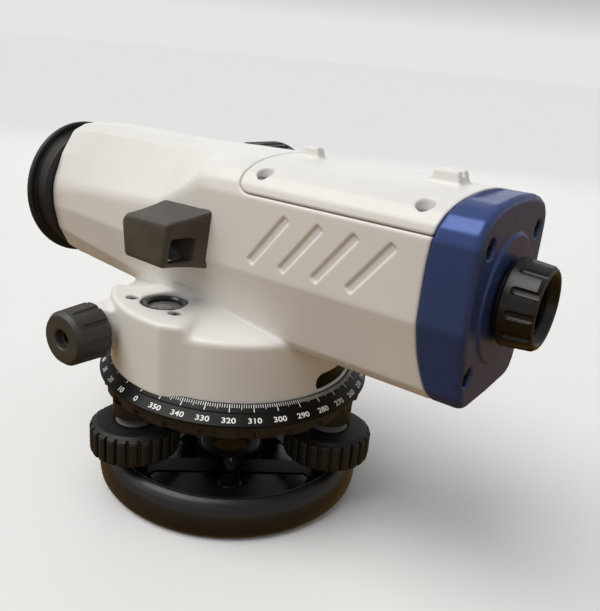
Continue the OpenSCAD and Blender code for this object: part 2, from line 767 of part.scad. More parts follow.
base_plate();
spring_plate();
spring_plate_screws();
foot_ball(0);  // foot_ball_a
foot_ball(1);  // foot_ball_b
foot_ball(2);  // foot_ball_c
tribrach();
foot_screw_bushes();
spindle_sleeve();
foot_tip(0);  // foot_tip_a
foot_tip(1);  // foot_tip_b
foot_tip(2);  // foot_tip_c
foot_screw(0);  // foot_screw_a
foot_screw(1);  // foot_screw_b
foot_screw(2);  // foot_screw_c
foot_knob(0);  // foot_knob_a
foot_knob(1);  // foot_knob_b
foot_knob(2);  // foot_knob_c
foot_collar(0);  // foot_collar_a
foot_collar(1);  // foot_collar_b
foot_collar(2);  // foot_collar_c
horizontal_circle();
clutch_washer();
worm_wheel();
housing();
spindle();
top_cover();
top_cover_screws();
end_cover();
end_cover_screws();
objective_hood();
objective_cell();
objective_front_lens();
objective_rear_lens();
vial_case();
vial_glass();
vial_adjusting_screws();
prism_housing();
viewing_prism();
circle_window();
tangent_bushes();
tangent_shaft();
tangent_knob_left();
tangent_knob_right();
focus_knob();
focus_shaft();
focus_bush();
focus_lens_cell();
focus_lens();
compensator_frame();
suspension_wires();
pendulum();
pendulum_prism();
reticle();
eyepiece_sleeve();
eyepiece_ring();
eye_lens_barrel();
eye_lens();
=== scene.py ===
"""The looks of an automatic level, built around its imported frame.

Shapes are worked out in millimetres, in the frame's own axes: +X along the line of
sight, +Y to the observer's left, +Z up. MM turns them into Blender's metres.
"""

import json
import math
from functools import reduce

import bpy
import numpy as np
import openvdb
from mathutils import Matrix, Vector


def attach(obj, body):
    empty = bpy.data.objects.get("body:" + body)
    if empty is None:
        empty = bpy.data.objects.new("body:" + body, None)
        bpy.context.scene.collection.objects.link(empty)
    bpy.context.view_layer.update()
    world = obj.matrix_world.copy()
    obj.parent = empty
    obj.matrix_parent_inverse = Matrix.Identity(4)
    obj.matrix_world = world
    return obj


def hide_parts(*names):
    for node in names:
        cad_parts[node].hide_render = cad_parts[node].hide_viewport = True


MM = 0.001

# ---- driving sizes, as in the CAD source ----

AXIS_Z = 104.2
FOOT_CIRCLE_R = 43.5
FOOT_ANGLES = (71, 191, 311)
KNOB_BOTTOM_Z = 20.2
KNOB_TOP_Z = 32.5
DRUM_R = 46.7
SKIRT_Z = 52
BOX_HALF_W = 29.3
BOX_FRONT_X = -10
RIDGE_TOP_X = -2
RIDGE_MIDDLE_X = 7
SHOULDER_X = 20
BARREL_X = 70
FRONT_X = 87
REAR_X = -105
SEAM_Z = 125.3
LID_FRONT_X = -19.5
WORM_X = 27.5
WORM_Z = 67.5
TANGENT_BOSS_Y = 46.4
TANGENT_KNOB_Y = 49.7
TANGENT_KNOB_L = 14.3
FOCUS_X = 24
FOCUS_Z = 111.5
VIAL = (9.5, 31.5)
VIAL_TOP_Z = 79.5
LOBE_R = 49.6
VIAL_SCREW_R = 12.5
VIAL_SCREW_ANGLES = (28, 152)
COVER_SCREW_Y = 20.5
COVER_SCREW_Z = (123.4, 84.1)
LID_SCREWS = ((-27, 23.2), (-27, -23.2), (-84.5, 22.6), (-84.5, -22.6))
WINDOW_ANGLE = 187
ZERO_ANGLE = 87.913

# half sections of the telescope body, (y, z) from the top round to the bottom
BOX_SECTION = (
    (0, 136.3), (8, 136), (15, 135.2), (20, 134), (25, 131.8), (28.2, 128.4),
    (BOX_HALF_W, 124.5), (BOX_HALF_W, 99), (23, 76.5), (20.5, 73.2), (17, 72), (0, 71.6),
)
RIDGE_TOP_SECTION = (
    (0, 136.2), (8, 135.9), (14.5, 134.9), (21, 132.8), (27, 129.6), (28.4, 127),
    (28.9, 124), (28.7, 99), (22.7, 77.7), (19.5, 74), (15, 72.5), (0, 72.1),
)
RIDGE_MIDDLE_SECTION = (
    (0, 136.1), (7, 135.7), (13, 134.2), (20.8, 128.8), (27.5, 122), (28, 119.5),
    (28.1, 117), (28, 98.6), (22.4, 79), (18.5, 74.8), (13, 73), (0, 72.5),
)
SHOULDER_SECTION = (
    (0, 136), (6, 135.5), (12, 133.4), (19.4, 124), (26.4, 114.8), (27, 112.5),
    (27.1, 110.5), (27, 98), (22, 80.5), (17.5, 75.5), (11, 73.4), (0, 73),
)
BARREL_SECTION = (
    (0, 135.9), (6, 135.2), (11.6, 132.9), (17.3, 122.7), (22.8, 112.3), (23.5, 110),
    (23.7, 108), (23.7, 100), (20.8, 87.6), (15.6, 79.3), (9, 76), (0, 75.3),
)
FRONT_SECTION = (
    (0, 134), (5.6, 133.6), (11.4, 131), (17.8, 121.7), (21.6, 112), (22.4, 109),
    (22.8, 105.6), (22.5, 99.4), (20.4, 90.4), (15.5, 81.6), (8.7, 76.8), (0, 75.9),
)

# ---- signed distance shapes ----
# A shape is a function of x, y and z arrays that gives distances in millimetres,
# negative inside.


def blended_union(a, b, blend=0.0):
    """The nearer of two distances, with the inner corner filled over the width of the blend."""
    if not blend:
        return np.minimum(a, b)
    overlap = np.maximum(blend - np.abs(a - b), 0) / blend
    return np.minimum(a, b) - overlap * overlap * blend / 4


def blended_overlap(a, b, blend=0.0):
    """The farther of two distances, with the outer corner rounded over the width of the blend."""
    return -blended_union(-a, -b, blend)


def both(*shapes, blend=0.0):
    """Where all the shapes overlap."""

    def shape(x, y, z):
        distances = [one(x, y, z) for one in shapes]
        return reduce(lambda a, b: blended_overlap(a, b, blend), distances)

    return shape


def either(*shapes):
    """The shapes joined."""
    return lambda x, y, z: reduce(np.minimum, [one(x, y, z) for one in shapes])


def less(kept, *removed):
    """A shape with others taken out of it."""
    return lambda x, y, z: reduce(np.maximum, [kept(x, y, z)] + [-one(x, y, z) for one in removed])


def rounded(parts, corner):
    """The distance to a corner between faces, from the distances to the faces."""
    shifted = [part + corner for part in parts]
    outside = sum(np.maximum(part, 0) ** 2 for part in shifted) ** 0.5
    inside = np.minimum(reduce(np.maximum, shifted), 0)
    return outside + inside - corner


def box(lo, hi, corner=0.0):
    """A box between two corners, with rounded edges."""
    middle = [(a + b) / 2 for a, b in zip(lo, hi)]
    half = [(b - a) / 2 for a, b in zip(lo, hi)]

    def shape(x, y, z):
        return rounded([np.abs(v - m) - h for v, m, h in zip((x, y, z), middle, half)], corner)

    return shape


def rod(axis, centre, lo, hi, radius, corner=0.0, end_radius=None):
    """A cylinder along axis 0, 1 or 2, or a cone if end_radius is given. centre is its place on
    the other two axes."""
    slope = ((end_radius if end_radius is not None else radius) - radius) / (hi - lo)

    def shape(x, y, z):
        along = (x, y, z)[axis]
        across = [v for i, v in enumerate((x, y, z)) if i != axis]
        from_axis = np.hypot(across[0] - centre[0], across[1] - centre[1])
        wall = (from_axis - radius - slope * (along - lo)) / math.hypot(1, slope)
        ends = np.abs(along - (lo + hi) / 2) - (hi - lo) / 2
        return rounded([wall, ends], corner)

    return shape


def above(axis, at):
    """Everything past a plane, on its positive side."""
    return lambda x, y, z: at - (x, y, z)[axis]


def below(axis, at):
    """Everything before a plane, on its negative side."""
    return lambda x, y, z: (x, y, z)[axis] - at


def turned_about(angle, shape):
    """A shape turned about the vertical axis by an angle in degrees."""
    c = math.cos(math.radians(angle))
    s = math.sin(math.radians(angle))
    return lambda x, y, z: shape(c * x + s * y, c * y - s * x, z)


def outline_distance(u, v, points):
    """The signed distance from (u, v) to a closed outline of points, negative inside."""
    nearest = None
    inside = None
    count = len(points)
    for k in range(count):
        (u0, v0), (u1, v1) = points[k], points[(k + 1) % count]
        du = u1 - u0
        dv = v1 - v0
        share = np.clip(((u - u0) * du + (v - v0) * dv) / (du * du + dv * dv), 0, 1)
        squared = (u - u0 - share * du) ** 2 + (v - v0 - share * dv) ** 2
        crosses = ((v0 <= v) != (v1 <= v)) & (u < u0 + (v - v0) * du / (dv if dv else 1e-9))
        nearest = squared if nearest is None else np.minimum(nearest, squared)
        inside = crosses if inside is None else inside ^ crosses
    return np.where(inside, -1, 1) * np.sqrt(nearest)


def revolved(profile):
    """A profile of (radius, z) points turned about the vertical axis. Its distances are worked
    out once for evenly spaced radii."""
    radius_step = 0.1
    radii = np.arange(0, 80, radius_step, dtype=np.float32)

    def shape(x, y, z):
        table = outline_distance(radii[:, None], z[0, 0][None, :], profile).astype(np.float32)
        place = np.hypot(x, y)[:, :, 0] / radius_step
        first = np.minimum(place.astype(int), len(radii) - 2)
        share = (place - first)[:, :, None].astype(np.float32)
        return table[first] * (1 - share) + table[first + 1] * share

    return shape


def shrunk(points, by):
    """A convex half section drawn in by a margin, with its ends on the middle line."""
    points = np.array(points, float)
    steps = np.diff(points, axis=0)
    normals = np.stack([-steps[:, 1], steps[:, 0]], 1) / np.hypot(*steps.T)[:, None]
    made = [points[0] - (0, by)]
    for k in range(1, len(points) - 1):
        bisector = normals[k - 1] + normals[k]
        made.append(points[k] - bisector * by * 2 / (bisector @ bisector))
    made.append(points[-1] + (0, by))
    return np.array(made)


def mirrored(section):
    """A whole closed section from a half one."""
    return [list(point) for point in section] + [[-u, v] for u, v in section[-2:0:-1]]


def lofted(stations, corner):
    """A body along x through half sections, mirrored in y, with its long edges rounded."""
    places = [x for x, _ in stations]
    outlines = np.array([shrunk(points, corner) for _, points in stations])

    def shape(x, y, z):
        out = np.empty((x.size, y.size, z.size), np.float32)
        side = np.abs(y[0])
        for k, at in enumerate(x.ravel()):
            section = [
                [np.interp(at, places, outlines[:, i, c]) for c in (0, 1)] for i in range(outlines.shape[1])
            ]
            out[k] = outline_distance(side, z[0], mirrored(section))
        return out - corner

    return shape


class Field:
    """Distances to a shape on a regular grid, from which its surface is made. join and cut work
    over the whole grid, or between two corners that hold all that they change."""

    FAR = 9.0  # the distance that stands for empty space

    def __init__(self, lo, hi, step):
        self.step = step
        self.axes = [np.arange(a, b + step, step, dtype=np.float32) for a, b in zip(lo, hi)]
        self.d = np.full([len(axis) for axis in self.axes], self.FAR, np.float32)

    def window(self, lo, hi):
        """The slices of the grid between two corners."""
        if lo is None:
            return (slice(None),) * 3
        return tuple(
            slice(max(int(np.searchsorted(axis, a)) - 1, 0), int(np.searchsorted(axis, b)) + 1)
            for axis, a, b in zip(self.axes, lo, hi)
        )

    def distances(self, shape, window):
        x, y, z = (axis[pick] for axis, pick in zip(self.axes, window))
        return shape(x[:, None, None], y[None, :, None], z[None, None, :])

    def join(self, shape, blend=0.0, lo=None, hi=None):
        window = self.window(lo, hi)
        self.d[window] = blended_union(self.d[window], self.distances(shape, window), blend)

    def cut(self, shape, blend=0.0, lo=None, hi=None):
        window = self.window(lo, hi)
        self.d[window] = blended_overlap(self.d[window], -self.distances(shape, window), blend)

    def keep(self, shape, blend=0.0):
        window = self.window(None, None)
        self.d = blended_overlap(self.d, self.distances(shape, window), blend).astype(np.float32)

    def part(self, lo, hi):
        """A copy of the part of the field between two corners."""
        window = self.window(lo, hi)
        copy = Field.__new__(Field)
        copy.step = self.step
        copy.axes = [axis[pick] for axis, pick in zip(self.axes, window)]
        copy.d = self.d[window].copy()
        return copy

    def soften(self, radius):
        """Smooths edges and corners over about that radius."""
        reach = int(math.ceil(2 * radius / self.step))
        offsets = np.arange(-reach, reach + 1)
        weights = np.exp(-0.5 * (offsets * self.step / radius) ** 2).astype(np.float32)
        weights /= weights.sum()
        for axis in range(3):
            ends = [(reach, reach) if k == axis else (0, 0) for k in range(3)]
            padded = np.pad(self.d, ends, mode="edge")
            total = np.zeros_like(self.d)
            for offset, weight in enumerate(weights):
                pick = [slice(None)] * 3
                pick[axis] = slice(offset, offset + self.d.shape[axis])
                total += weight * padded[tuple(pick)]
            self.d = total

    def sample(self, at):
        """The distance at points given in grid steps, read between the grid's own points."""
        top = np.array(self.d.shape) - 2
        base = np.clip(np.floor(at).astype(int), 0, top)
        share = at - base
        total = np.zeros(len(at))
        for corner in np.ndindex(2, 2, 2):
            weight = np.prod(np.where(corner, share, 1 - share), axis=1)
            i, j, k = (base + corner).T
            total += weight * self.d[i, j, k]
        return total

    def slopes(self, at):
        """How the distance changes along each axis."""
        reach = 0.7
        steps = np.eye(3) * reach
        return np.stack([self.sample(at + s) - self.sample(at - s) for s in steps], 1) / (2 * reach)

    def piece(self, name):
        """The surface as a mesh object whose shading follows the field's own slopes."""
        border = self.d.copy()
        for axis in range(3):
            for end in (0, -1):
                pick = [slice(None)] * 3
                pick[axis] = end
                border[tuple(pick)] = np.maximum(border[tuple(pick)], 0.5 * self.step)
        self.d = border
        grid = openvdb.FloatGrid(self.FAR)
        grid.copyFromArray(np.clip(border, -self.FAR, self.FAR))
        points, quads = grid.convertToQuads(0.0)
        points = points.astype(float)
        most = 0.35
        for _ in range(2):
            # each point slides along the slope to where the distance is nought
            slope = self.slopes(points)
            lengths = np.maximum((slope**2).sum(1), (0.3 * self.step) ** 2)
            shift = -slope * (self.sample(points) / lengths)[:, None]
            points += np.clip(shift, -most, most)
        normals = self.slopes(points)
        normals /= np.maximum(np.linalg.norm(normals, axis=1), 1e-9)[:, None]
        origin = np.array([axis[0] for axis in self.axes])
        obj = smooth_object(name, (origin + points * self.step) * MM, quads)
        obj.data.normals_split_custom_set_from_vertices(normals.tolist())
        return obj


# ---- meshes ----


def in_scene(name, data):
    obj = bpy.data.objects.new(name, data)
    bpy.context.scene.collection.objects.link(obj)
    return obj


def mesh_object(name, points, faces):
    mesh = bpy.data.meshes.new(name)
    mesh.from_pydata(points, [], faces)
    return in_scene(name, mesh)


def smooth_object(name, points, faces):
    """A closed mesh object of four-sided faces, shaded smooth, with its faces looking outwards."""
    faces = np.asarray(faces)
    corners = points[faces]
    turned = np.cross(corners[:, 1] - corners[:, 0], corners[:, 2] - corners[:, 0])
    middle = points.mean(0)
    if ((corners.mean(1) - middle) * turned).sum() < 0:
        faces = faces[:, ::-1]
    obj = mesh_object(name, points.tolist(), faces.tolist())
    obj.data.polygons.foreach_set("use_smooth", [True] * len(obj.data.polygons))
    return obj


def spun(name, outline, count, place, limit=None, sharp=35):
    """A turned piece. outline is a closed ring of (radius, height) points, place puts the
    (across, sideways, along) axes in the frame, and limit(angle, height) caps the radius."""
    outline = np.array(outline, float)
    angles = np.arange(count) * 2 * math.pi / count
    radius = np.repeat(outline[None, :, 0], count, 0)
    height = np.repeat(outline[None, :, 1], count, 0)
    if limit is not None:
        radius = np.minimum(radius, limit(angles[:, None], height))
    local = np.stack(
        [radius * np.cos(angles)[:, None], radius * np.sin(angles)[:, None], height, np.ones_like(height)], -1
    )
    points = (local.reshape(-1, 4) @ np.array(place).T)[:, :3] * MM
    n = len(outline)
    i, j = np.meshgrid(np.arange(count), np.arange(n), indexing="ij")
    after_i = (i + 1) % count
    after_j = (j + 1) % n
    faces = np.stack([i * n + j, after_i * n + j, after_i * n + after_j, i * n + after_j], -1).reshape(-1, 4)
    obj = smooth_object(name, points, faces)
    obj.data.set_sharp_from_angle(angle=math.radians(sharp))
    return obj


def rounded_outline(points, radius, steps):
    """A closed outline with its corners rounded, each in so many steps."""
    made = []
    count = len(points)
    for k in range(count):
        before, here, after = (np.array(points[(k + s) % count], float) for s in (-1, 0, 1))
        back = before - here
        ahead = after - here
        reach_back = np.linalg.norm(back)
        reach_ahead = np.linalg.norm(ahead)
        back /= reach_back
        ahead /= reach_ahead
        cosine = float(np.clip(back @ ahead, -1, 1))
        half = math.acos(cosine) / 2
        if half > math.radians(87):
            # too nearly straight to need rounding
            made.append(here)
            continue
        reach = min(radius / math.tan(half), 0.45 * reach_back, 0.45 * reach_ahead)
        size = reach * math.tan(half)
        middle = here + (back + ahead) / np.linalg.norm(back + ahead) * size / math.sin(half)
        start = here + back * reach - middle
        sweep = math.pi - 2 * half
        side = 1 if start[0] * (ahead - back)[1] - start[1] * (ahead - back)[0] > 0 else -1
        for s in range(steps + 1):
            a = side * sweep * s / steps
            turn = np.array([[math.cos(a), -math.sin(a)], [math.sin(a), math.cos(a)]])
            made.append(middle + turn @ start)
    return made


def divided(outline, longest):
    """An outline with points added so that no side is longer than longest."""
    made = []
    count = len(outline)
    for k in range(count):
        here = np.array(outline[k], float)
        after = np.array(outline[(k + 1) % count], float)
        pieces = max(1, int(math.ceil(np.linalg.norm(after - here) / longest)))
        made += [here + (after - here) * s / pieces for s in range(pieces)]
    return made


def upright(x, y, z):
    """A frame whose third axis points up."""
    return Matrix.Translation((x, y, z))


def around(radius, angle):
    """The (x, y) of a point at an angle in degrees round the vertical axis."""
    return (radius * math.cos(math.radians(angle)), radius * math.sin(math.radians(angle)))


def lying(x, y, z, towards):
    """A frame whose third axis points towards -X, +Y or -Y."""
    turn = {
        "-x": Matrix.Rotation(-math.pi / 2, 4, "Y"),
        "+y": Matrix.Rotation(-math.pi / 2, 4, "X"),
        "-y": Matrix.Rotation(math.pi / 2, 4, "X"),
    }[towards]
    return Matrix.Translation((x, y, z)) @ turn


# ---- looks ----


def linear(red, green, blue):
    """Linear colour of an sRGB colour given in 0 to 255."""
    parts = []
    for value in (red, green, blue):
        share = value / 255
        parts.append(share / 12.92 if share <= 0.04045 else ((share + 0.055) / 1.055) ** 2.4)
    return (*parts, 1.0)


def tinted(colour, factor):
    """A colour made lighter or darker."""
    return (*[min(part * factor, 1.0) for part in colour[:3]], 1.0)


def feed(tree, node, inputs):
    """Sets a node's inputs to values, or joins them to other nodes' outputs. In a name, _ stands
    for a space."""
    for name, value in inputs.items():
        socket = node.inputs[name.replace("_", " ")]
        if isinstance(value, bpy.types.NodeSocket):
            tree.links.new(value, socket)
        else:
            socket.default_value = value


def new_node(tree, kind, **inputs):
    node = tree.nodes.new("ShaderNode" + kind)
    feed(tree, node, inputs)
    return node


class Look:
    """A procedural material around one Principled shader. Sizes are in millimetres."""

    def __init__(self, name):
        self.material = bpy.data.materials.new(name)
        self.material.use_nodes = True
        self.tree = self.material.node_tree
        place = new_node(self.tree, "TexCoord")
        scale = new_node(self.tree, "Mapping", Vector=place.outputs["Object"], Scale=(1 / MM,) * 3)
        self.place = scale.outputs["Vector"]

    def noise(self, size, detail=3.0, roughness=0.55, stretch=None):
        """Smooth noise with features of a size in millimetres."""
        place = self.place
        if stretch is not None:
            place = new_node(self.tree, "Mapping", Vector=place, Scale=stretch).outputs["Vector"]
        node = new_node(
            self.tree, "TexNoise", Vector=place, Scale=1 / size, Detail=detail, Roughness=roughness
        )
        return node.outputs["Fac"]

    def spread(self, value, from_lo, from_hi, to_lo, to_hi):
        """A value stretched from one range to another."""
        ends = {"From_Min": from_lo, "From_Max": from_hi, "To_Min": to_lo, "To_Max": to_hi}
        return new_node(self.tree, "MapRange", Value=value, **ends).outputs["Result"]

    def mixed(self, share, first, second):
        """A colour between two; each value is a colour or an output."""
        node = new_node(self.tree, "Mix")
        node.data_type = "RGBA"
        for identifier, value in (("Factor_Float", share), ("A_Color", first), ("B_Color", second)):
            socket = next(s for s in node.inputs if s.identifier == identifier)
            if isinstance(value, tuple):
                socket.default_value = value
            else:
                self.tree.links.new(value, socket)
        return next(s for s in node.outputs if s.identifier == "Result_Color")

    def edges(self, lo, hi):
        """How sharply the surface sticks out, from 0 to 1."""
        geometry = new_node(self.tree, "NewGeometry")
        return self.spread(geometry.outputs["Pointiness"], lo, hi, 0, 1)

    def times(self, first, second):
        node = self.tree.nodes.new("ShaderNodeMath")
        node.operation = "MULTIPLY"
        self.tree.links.new(first, node.inputs[0])
        self.tree.links.new(second, node.inputs[1])
        return node.outputs["Value"]

    def relief(self, *layers):
        """Bump from layers of (height, depth in millimetres)."""
        below = {}
        for height, depth in layers:
            node = new_node(self.tree, "Bump", Distance=depth * MM, Height=height, **below)
            below = {"Normal": node.outputs["Normal"]}
        self.set(**below)

    def set(self, **inputs):
        """Sets or joins the shader's inputs, as feed does."""
        feed(self.tree, self.tree.nodes["Principled BSDF"], inputs)
        return self


def painted(name, base, gloss, worn=None, metal=0.0):
    """Satin paint on a casting: fine orange peel, faint handling marks, softer edges."""
    look = Look(name)
    cloud = look.noise(38, detail=2)
    scuff = look.noise(2.2, detail=6, roughness=0.7)
    colour = look.mixed(look.spread(cloud, 0.35, 0.65, 0, 1), tinted(base, 0.965), tinted(base, 1.02))
    colour = look.mixed(look.spread(scuff, 0.68, 0.78, 0, 0.16), colour, tinted(base, 0.84))
    if worn is not None:
        patch = look.spread(look.noise(1.1, detail=4), 0.42, 0.62, 0, 0.55)
        colour = look.mixed(look.times(look.edges(0.56, 0.66), patch), colour, worn)
    look.set(Base_Color=colour, Roughness=look.spread(scuff, 0.3, 0.7, gloss - 0.05, gloss + 0.07))
    look.relief((look.noise(0.85, detail=2), 0.012), (look.noise(0.22, detail=1), 0.004))
    return look.set(Specular_IOR_Level=0.45, Metallic=metal)


def moulded(name, base, gloss, grain=0.35, depth=0.03, worn=None, coat=0.0):
    """Moulded plastic with a fine spark-eroded grain, polished a little where it is handled."""
    look = Look(name)
    cloud = look.noise(14, detail=3)
    grit = look.noise(grain, detail=3, roughness=0.6)
    colour = look.mixed(look.spread(cloud, 0.35, 0.65, 0, 1), tinted(base, 0.85), tinted(base, 1.15))
    colour = look.mixed(look.spread(grit, 0.62, 0.75, 0, 0.25), colour, tinted(base, 1.8))
    if worn is not None:
        patch = look.spread(look.noise(1.6, detail=4), 0.4, 0.65, 0.1, 0.8)
        colour = look.mixed(look.times(look.edges(0.53, 0.62), patch), colour, worn)
    look.set(Base_Color=colour, Roughness=look.spread(cloud, 0.3, 0.7, gloss - 0.06, gloss + 0.06))
    look.relief((grit, depth), (cloud, 0.02))
    return look.set(Coat_Weight=coat, Coat_Roughness=0.3)


def machined(name, base, gloss, stretch):
    """Turned or milled metal with fine tool marks across one direction."""
    look = Look(name)
    marks = look.noise(0.5, detail=3, roughness=0.65, stretch=stretch)
    stain = look.noise(6, detail=4)
    colour = look.mixed(look.spread(stain, 0.35, 0.7, 0, 1), tinted(base, 0.8), tinted(base, 1.05))
    look.set(Base_Color=colour, Roughness=look.spread(marks, 0.3, 0.7, gloss - 0.08, gloss + 0.12))
    look.relief((marks, 0.012))
    return look.set(Metallic=1.0)


def glass(name, tint):
    """Coated optical glass with a faint film of dust."""
    look = Look(name)
    dust = look.noise(1.3, detail=5, roughness=0.7)
    look.set(Base_Color=tint, Roughness=look.spread(dust, 0.45, 0.8, 0.02, 0.12))
    return look.set(Transmission_Weight=0.95, IOR=1.5, Specular_IOR_Level=0.6)


WHITE = linear(229, 227, 223)
BLUE = linear(60, 79, 134)
BLACK = linear(27, 26, 25)
HANDLED_BLACK = linear(60, 57, 53)
BLACK_PAINT = linear(27, 25, 24)

LOOKS = {
    "white_enamel": painted("white_enamel_paint", WHITE, 0.36),
    "blue_cover": painted("blue_cover_paint", BLUE, 0.36, worn=linear(110, 124, 168), metal=0.45),
    "black_plastic": moulded("black_moulding", BLACK, 0.46, worn=linear(92, 90, 88)),
    "black_base": painted("black_base_paint", BLACK_PAINT, 0.34, worn=linear(105, 103, 100)),
    "dark_anodised": machined("dark_anodised_metal", linear(52, 52, 55), 0.42, (1, 1, 8)),
    "grey_collar": moulded("grey_collar_moulding", linear(116, 114, 111), 0.4, depth=0.015),
    "steel": machined("turned_steel", linear(186, 187, 190), 0.28, (1, 1, 9)),
    "brass": machined("turned_brass", linear(204, 172, 104), 0.3, (1, 1, 9)),
    "optical_glass": glass("optical_glass", (0.93, 0.97, 0.97, 1)),
}
CIRCLE_BLACK = moulded("circle_black", linear(9, 8, 8), 0.42, grain=0.2, depth=0.008)
CIRCLE_BLACK.set(Specular_IOR_Level=0.22)
KNOB_BLACK = moulded("knob_black", HANDLED_BLACK, 0.5, worn=linear(112, 108, 102))
# The prism hood's grey-black is lighter than the other mouldings. This is painted sheen, standing in for the
# broad sheen on its lit top.
HOOD_BLACK_PAINTED_SHEEN = moulded("prism_hood_painted_sheen", linear(74, 69, 63), 0.5, worn=linear(118, 114, 108))
EYEPIECE_BLACK = moulded("eyepiece_black", linear(16, 14, 13), 0.34, worn=linear(70, 67, 64))
# The grip band's brown tint is painted reflection, standing in for warm light thrown up from the brown table
# below.
GRIP_BAND_PAINTED_WARM_REFLECTION = moulded("circle_grip_painted_warm_reflection", linear(34, 29, 24), 0.55, grain=0.3, depth=0.03)
FOOT_KNOB_BLACK = moulded("foot_knob_black", linear(22, 20, 17), 0.55, worn=linear(62, 58, 52))
PLAIN_BLACK_PAINT = painted("tribrach_paint", linear(24, 22, 20), 0.4)
MARKS = moulded("white_marks", linear(236, 236, 232), 0.5, grain=0.12, depth=0.006)
# The window pane is opaque and near-black. This is painted shade, standing in for the shaded inside of the
# drum seen through the glass.
WINDOW_GLASS_PAINTED_SHADE = moulded("window_glass_painted_shade", linear(4, 3, 3), 0.25, grain=0.8, depth=0.002)
WINDOW_GLASS_PAINTED_SHADE.set(Specular_IOR_Level=0.1)
VIAL_RING = moulded("vial_ring_black", linear(20, 19, 19), 0.26, grain=0.4, depth=0.006, coat=0.4)
VIAL_LIQUID = moulded("vial_liquid", linear(168, 156, 152), 0.2, grain=2.0, depth=0.01, coat=0.8)
DARK_SCREW = machined("blackened_screw", linear(30, 30, 32), 0.4, (1, 1, 6))
WIRE = machined("suspension_wire", linear(200, 196, 180), 0.25, (1, 1, 20))


def dress(obj, look):
    """Gives an object one look all over."""
    obj.data.materials.clear()
    obj.data.materials.append(look.material)


def add_piece(obj, body, slot, stands_for=(), look=None):
    """Gives a new piece its look and its body, and hides the CAD nodes that it stands for."""
    dress(obj, look or LOOKS[slot])
    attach(obj, body)
    if stands_for:
        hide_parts(*stands_for)
    return obj


# ---- the frame ----

# CAD nodes with a look of their own; the others take their slot's
NODE_LOOKS = {
    # the reading window takes the pane with painted shade
    "circle_window": WINDOW_GLASS_PAINTED_SHADE,
    "end_cover_screws": DARK_SCREW,
    "spring_plate": DARK_SCREW,
    "tangent_shaft": DARK_SCREW,
    "focus_shaft": DARK_SCREW,
    "tribrach": PLAIN_BLACK_PAINT,
    "suspension_wires": WIRE,
}

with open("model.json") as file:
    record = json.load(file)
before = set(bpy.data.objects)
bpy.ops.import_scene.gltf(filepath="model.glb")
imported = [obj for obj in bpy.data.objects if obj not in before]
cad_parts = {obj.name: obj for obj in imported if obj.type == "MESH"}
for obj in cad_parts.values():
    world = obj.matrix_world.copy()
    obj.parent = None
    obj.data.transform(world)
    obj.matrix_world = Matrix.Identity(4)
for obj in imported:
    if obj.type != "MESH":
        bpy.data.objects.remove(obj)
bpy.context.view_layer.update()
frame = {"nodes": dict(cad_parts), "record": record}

for part in frame["record"]["subparts"]:
    look = NODE_LOOKS.get(part["node"], LOOKS[part["material_slot"]])
    for place in frame["nodes"][part["node"]].material_slots:
        place.material = look.material

# ---- housing, lid and rear cover ----

BODY_STEP = 0.5
SEAM_GAP = 0.18
BODY_CORNER = 1.6

BODY = lofted(
    (
        (REAR_X - 5, BOX_SECTION),
        (BOX_FRONT_X, BOX_SECTION),
        (RIDGE_TOP_X, RIDGE_TOP_SECTION),
        (RIDGE_MIDDLE_X, RIDGE_MIDDLE_SECTION),
        (SHOULDER_X, SHOULDER_SECTION),
        (BARREL_X, BARREL_SECTION),
        (FRONT_X, FRONT_SECTION),
        (FRONT_X + 3, FRONT_SECTION),
    ),
    BODY_CORNER,
)


def vial_lobe():
    """The raised lobe that holds the vial: part of a disc, with two sloping flanks."""
    flank_tilt = math.radians(42)
    half_angle = math.radians(32.4)
    flank_turn = math.radians(1.5)
    drum_r = 46.4
    flanks = []
    for side in (-1, 1):
        # a flank runs from the rim to the telescope, mirrored about the vial's own direction
        direction = math.atan2(VIAL[1], VIAL[0]) + side * half_angle
        lean = direction + side * math.pi / 2 + side * flank_turn
        rim = Vector((math.cos(direction), math.sin(direction))) * (drum_r + 0.2)
        out = Vector((math.cos(lean), math.sin(lean)))
        flanks.append((rim, out))

    def shape(x, y, z):
        # the lobe swells out of the drum over some ten degrees at each end
        angle = np.degrees(np.arctan2(y, x))
        reach = np.interp(angle, (34, 46, 97, 109), (drum_r, LOBE_R, LOBE_R, drum_r))
        distance = rounded([np.hypot(x, y) - reach + 0 * z, z - VIAL_TOP_Z + 0 * x], 1.5)
        for rim, out in flanks:
            wall = (x - rim.x) * out.x + (y - rim.y) * out.y
            slope = wall * math.cos(flank_tilt) + (z - VIAL_TOP_Z + 0.4) * math.sin(flank_tilt)
            distance = blended_overlap(distance, slope, 1.6)
            distance = blended_overlap(distance, wall - 3.2, 2.0)
        return distance

    return shape


DRUM_PROFILE = (
    (0, 46), (DRUM_R, 46), (DRUM_R, 73.8), (46.3, 75.1), (45, 75.9), (36, 78.1), (26, 81), (0, 81),
)


def side_groove(x, z, side):
    """One slanting groove in the side of the box, from its lower front end."""
    length = 22
    half_width = 1.35
    depth = 0.8
    tilt = math.atan2(18, -14.4)

    def shape(px, py, pz):
        along = (px - x) * math.cos(tilt) + (pz - z) * math.sin(tilt)
        across = (px - x) * -math.sin(tilt) + (pz - z) * math.cos(tilt)
        outline = rounded([np.abs(along - length / 2) - length / 2, np.abs(across) - half_width], 0.5)
        floor = BOX_HALF_W - depth - side * py
        return blended_overlap(outline + 0 * py, floor + 0 * px, 0.4)

    return shape


def rear_boundary(x, y, z):
    """How far a point is in front of the joint between housing and rear cover."""
    rise = (z - 103) / np.where(z > 103, 33, 27)
    return x + 89.9 + 3.4 * np.abs(rise) ** 3 + 0 * y


def lid_region(x, y, z):
    """The space that the lid takes up, over the seam and behind its front end."""
    front = x - LID_FRONT_X
    under = SEAM_Z - z
    return rounded([front + 0 * z, under + 0 * x], 5.0) + 0 * y


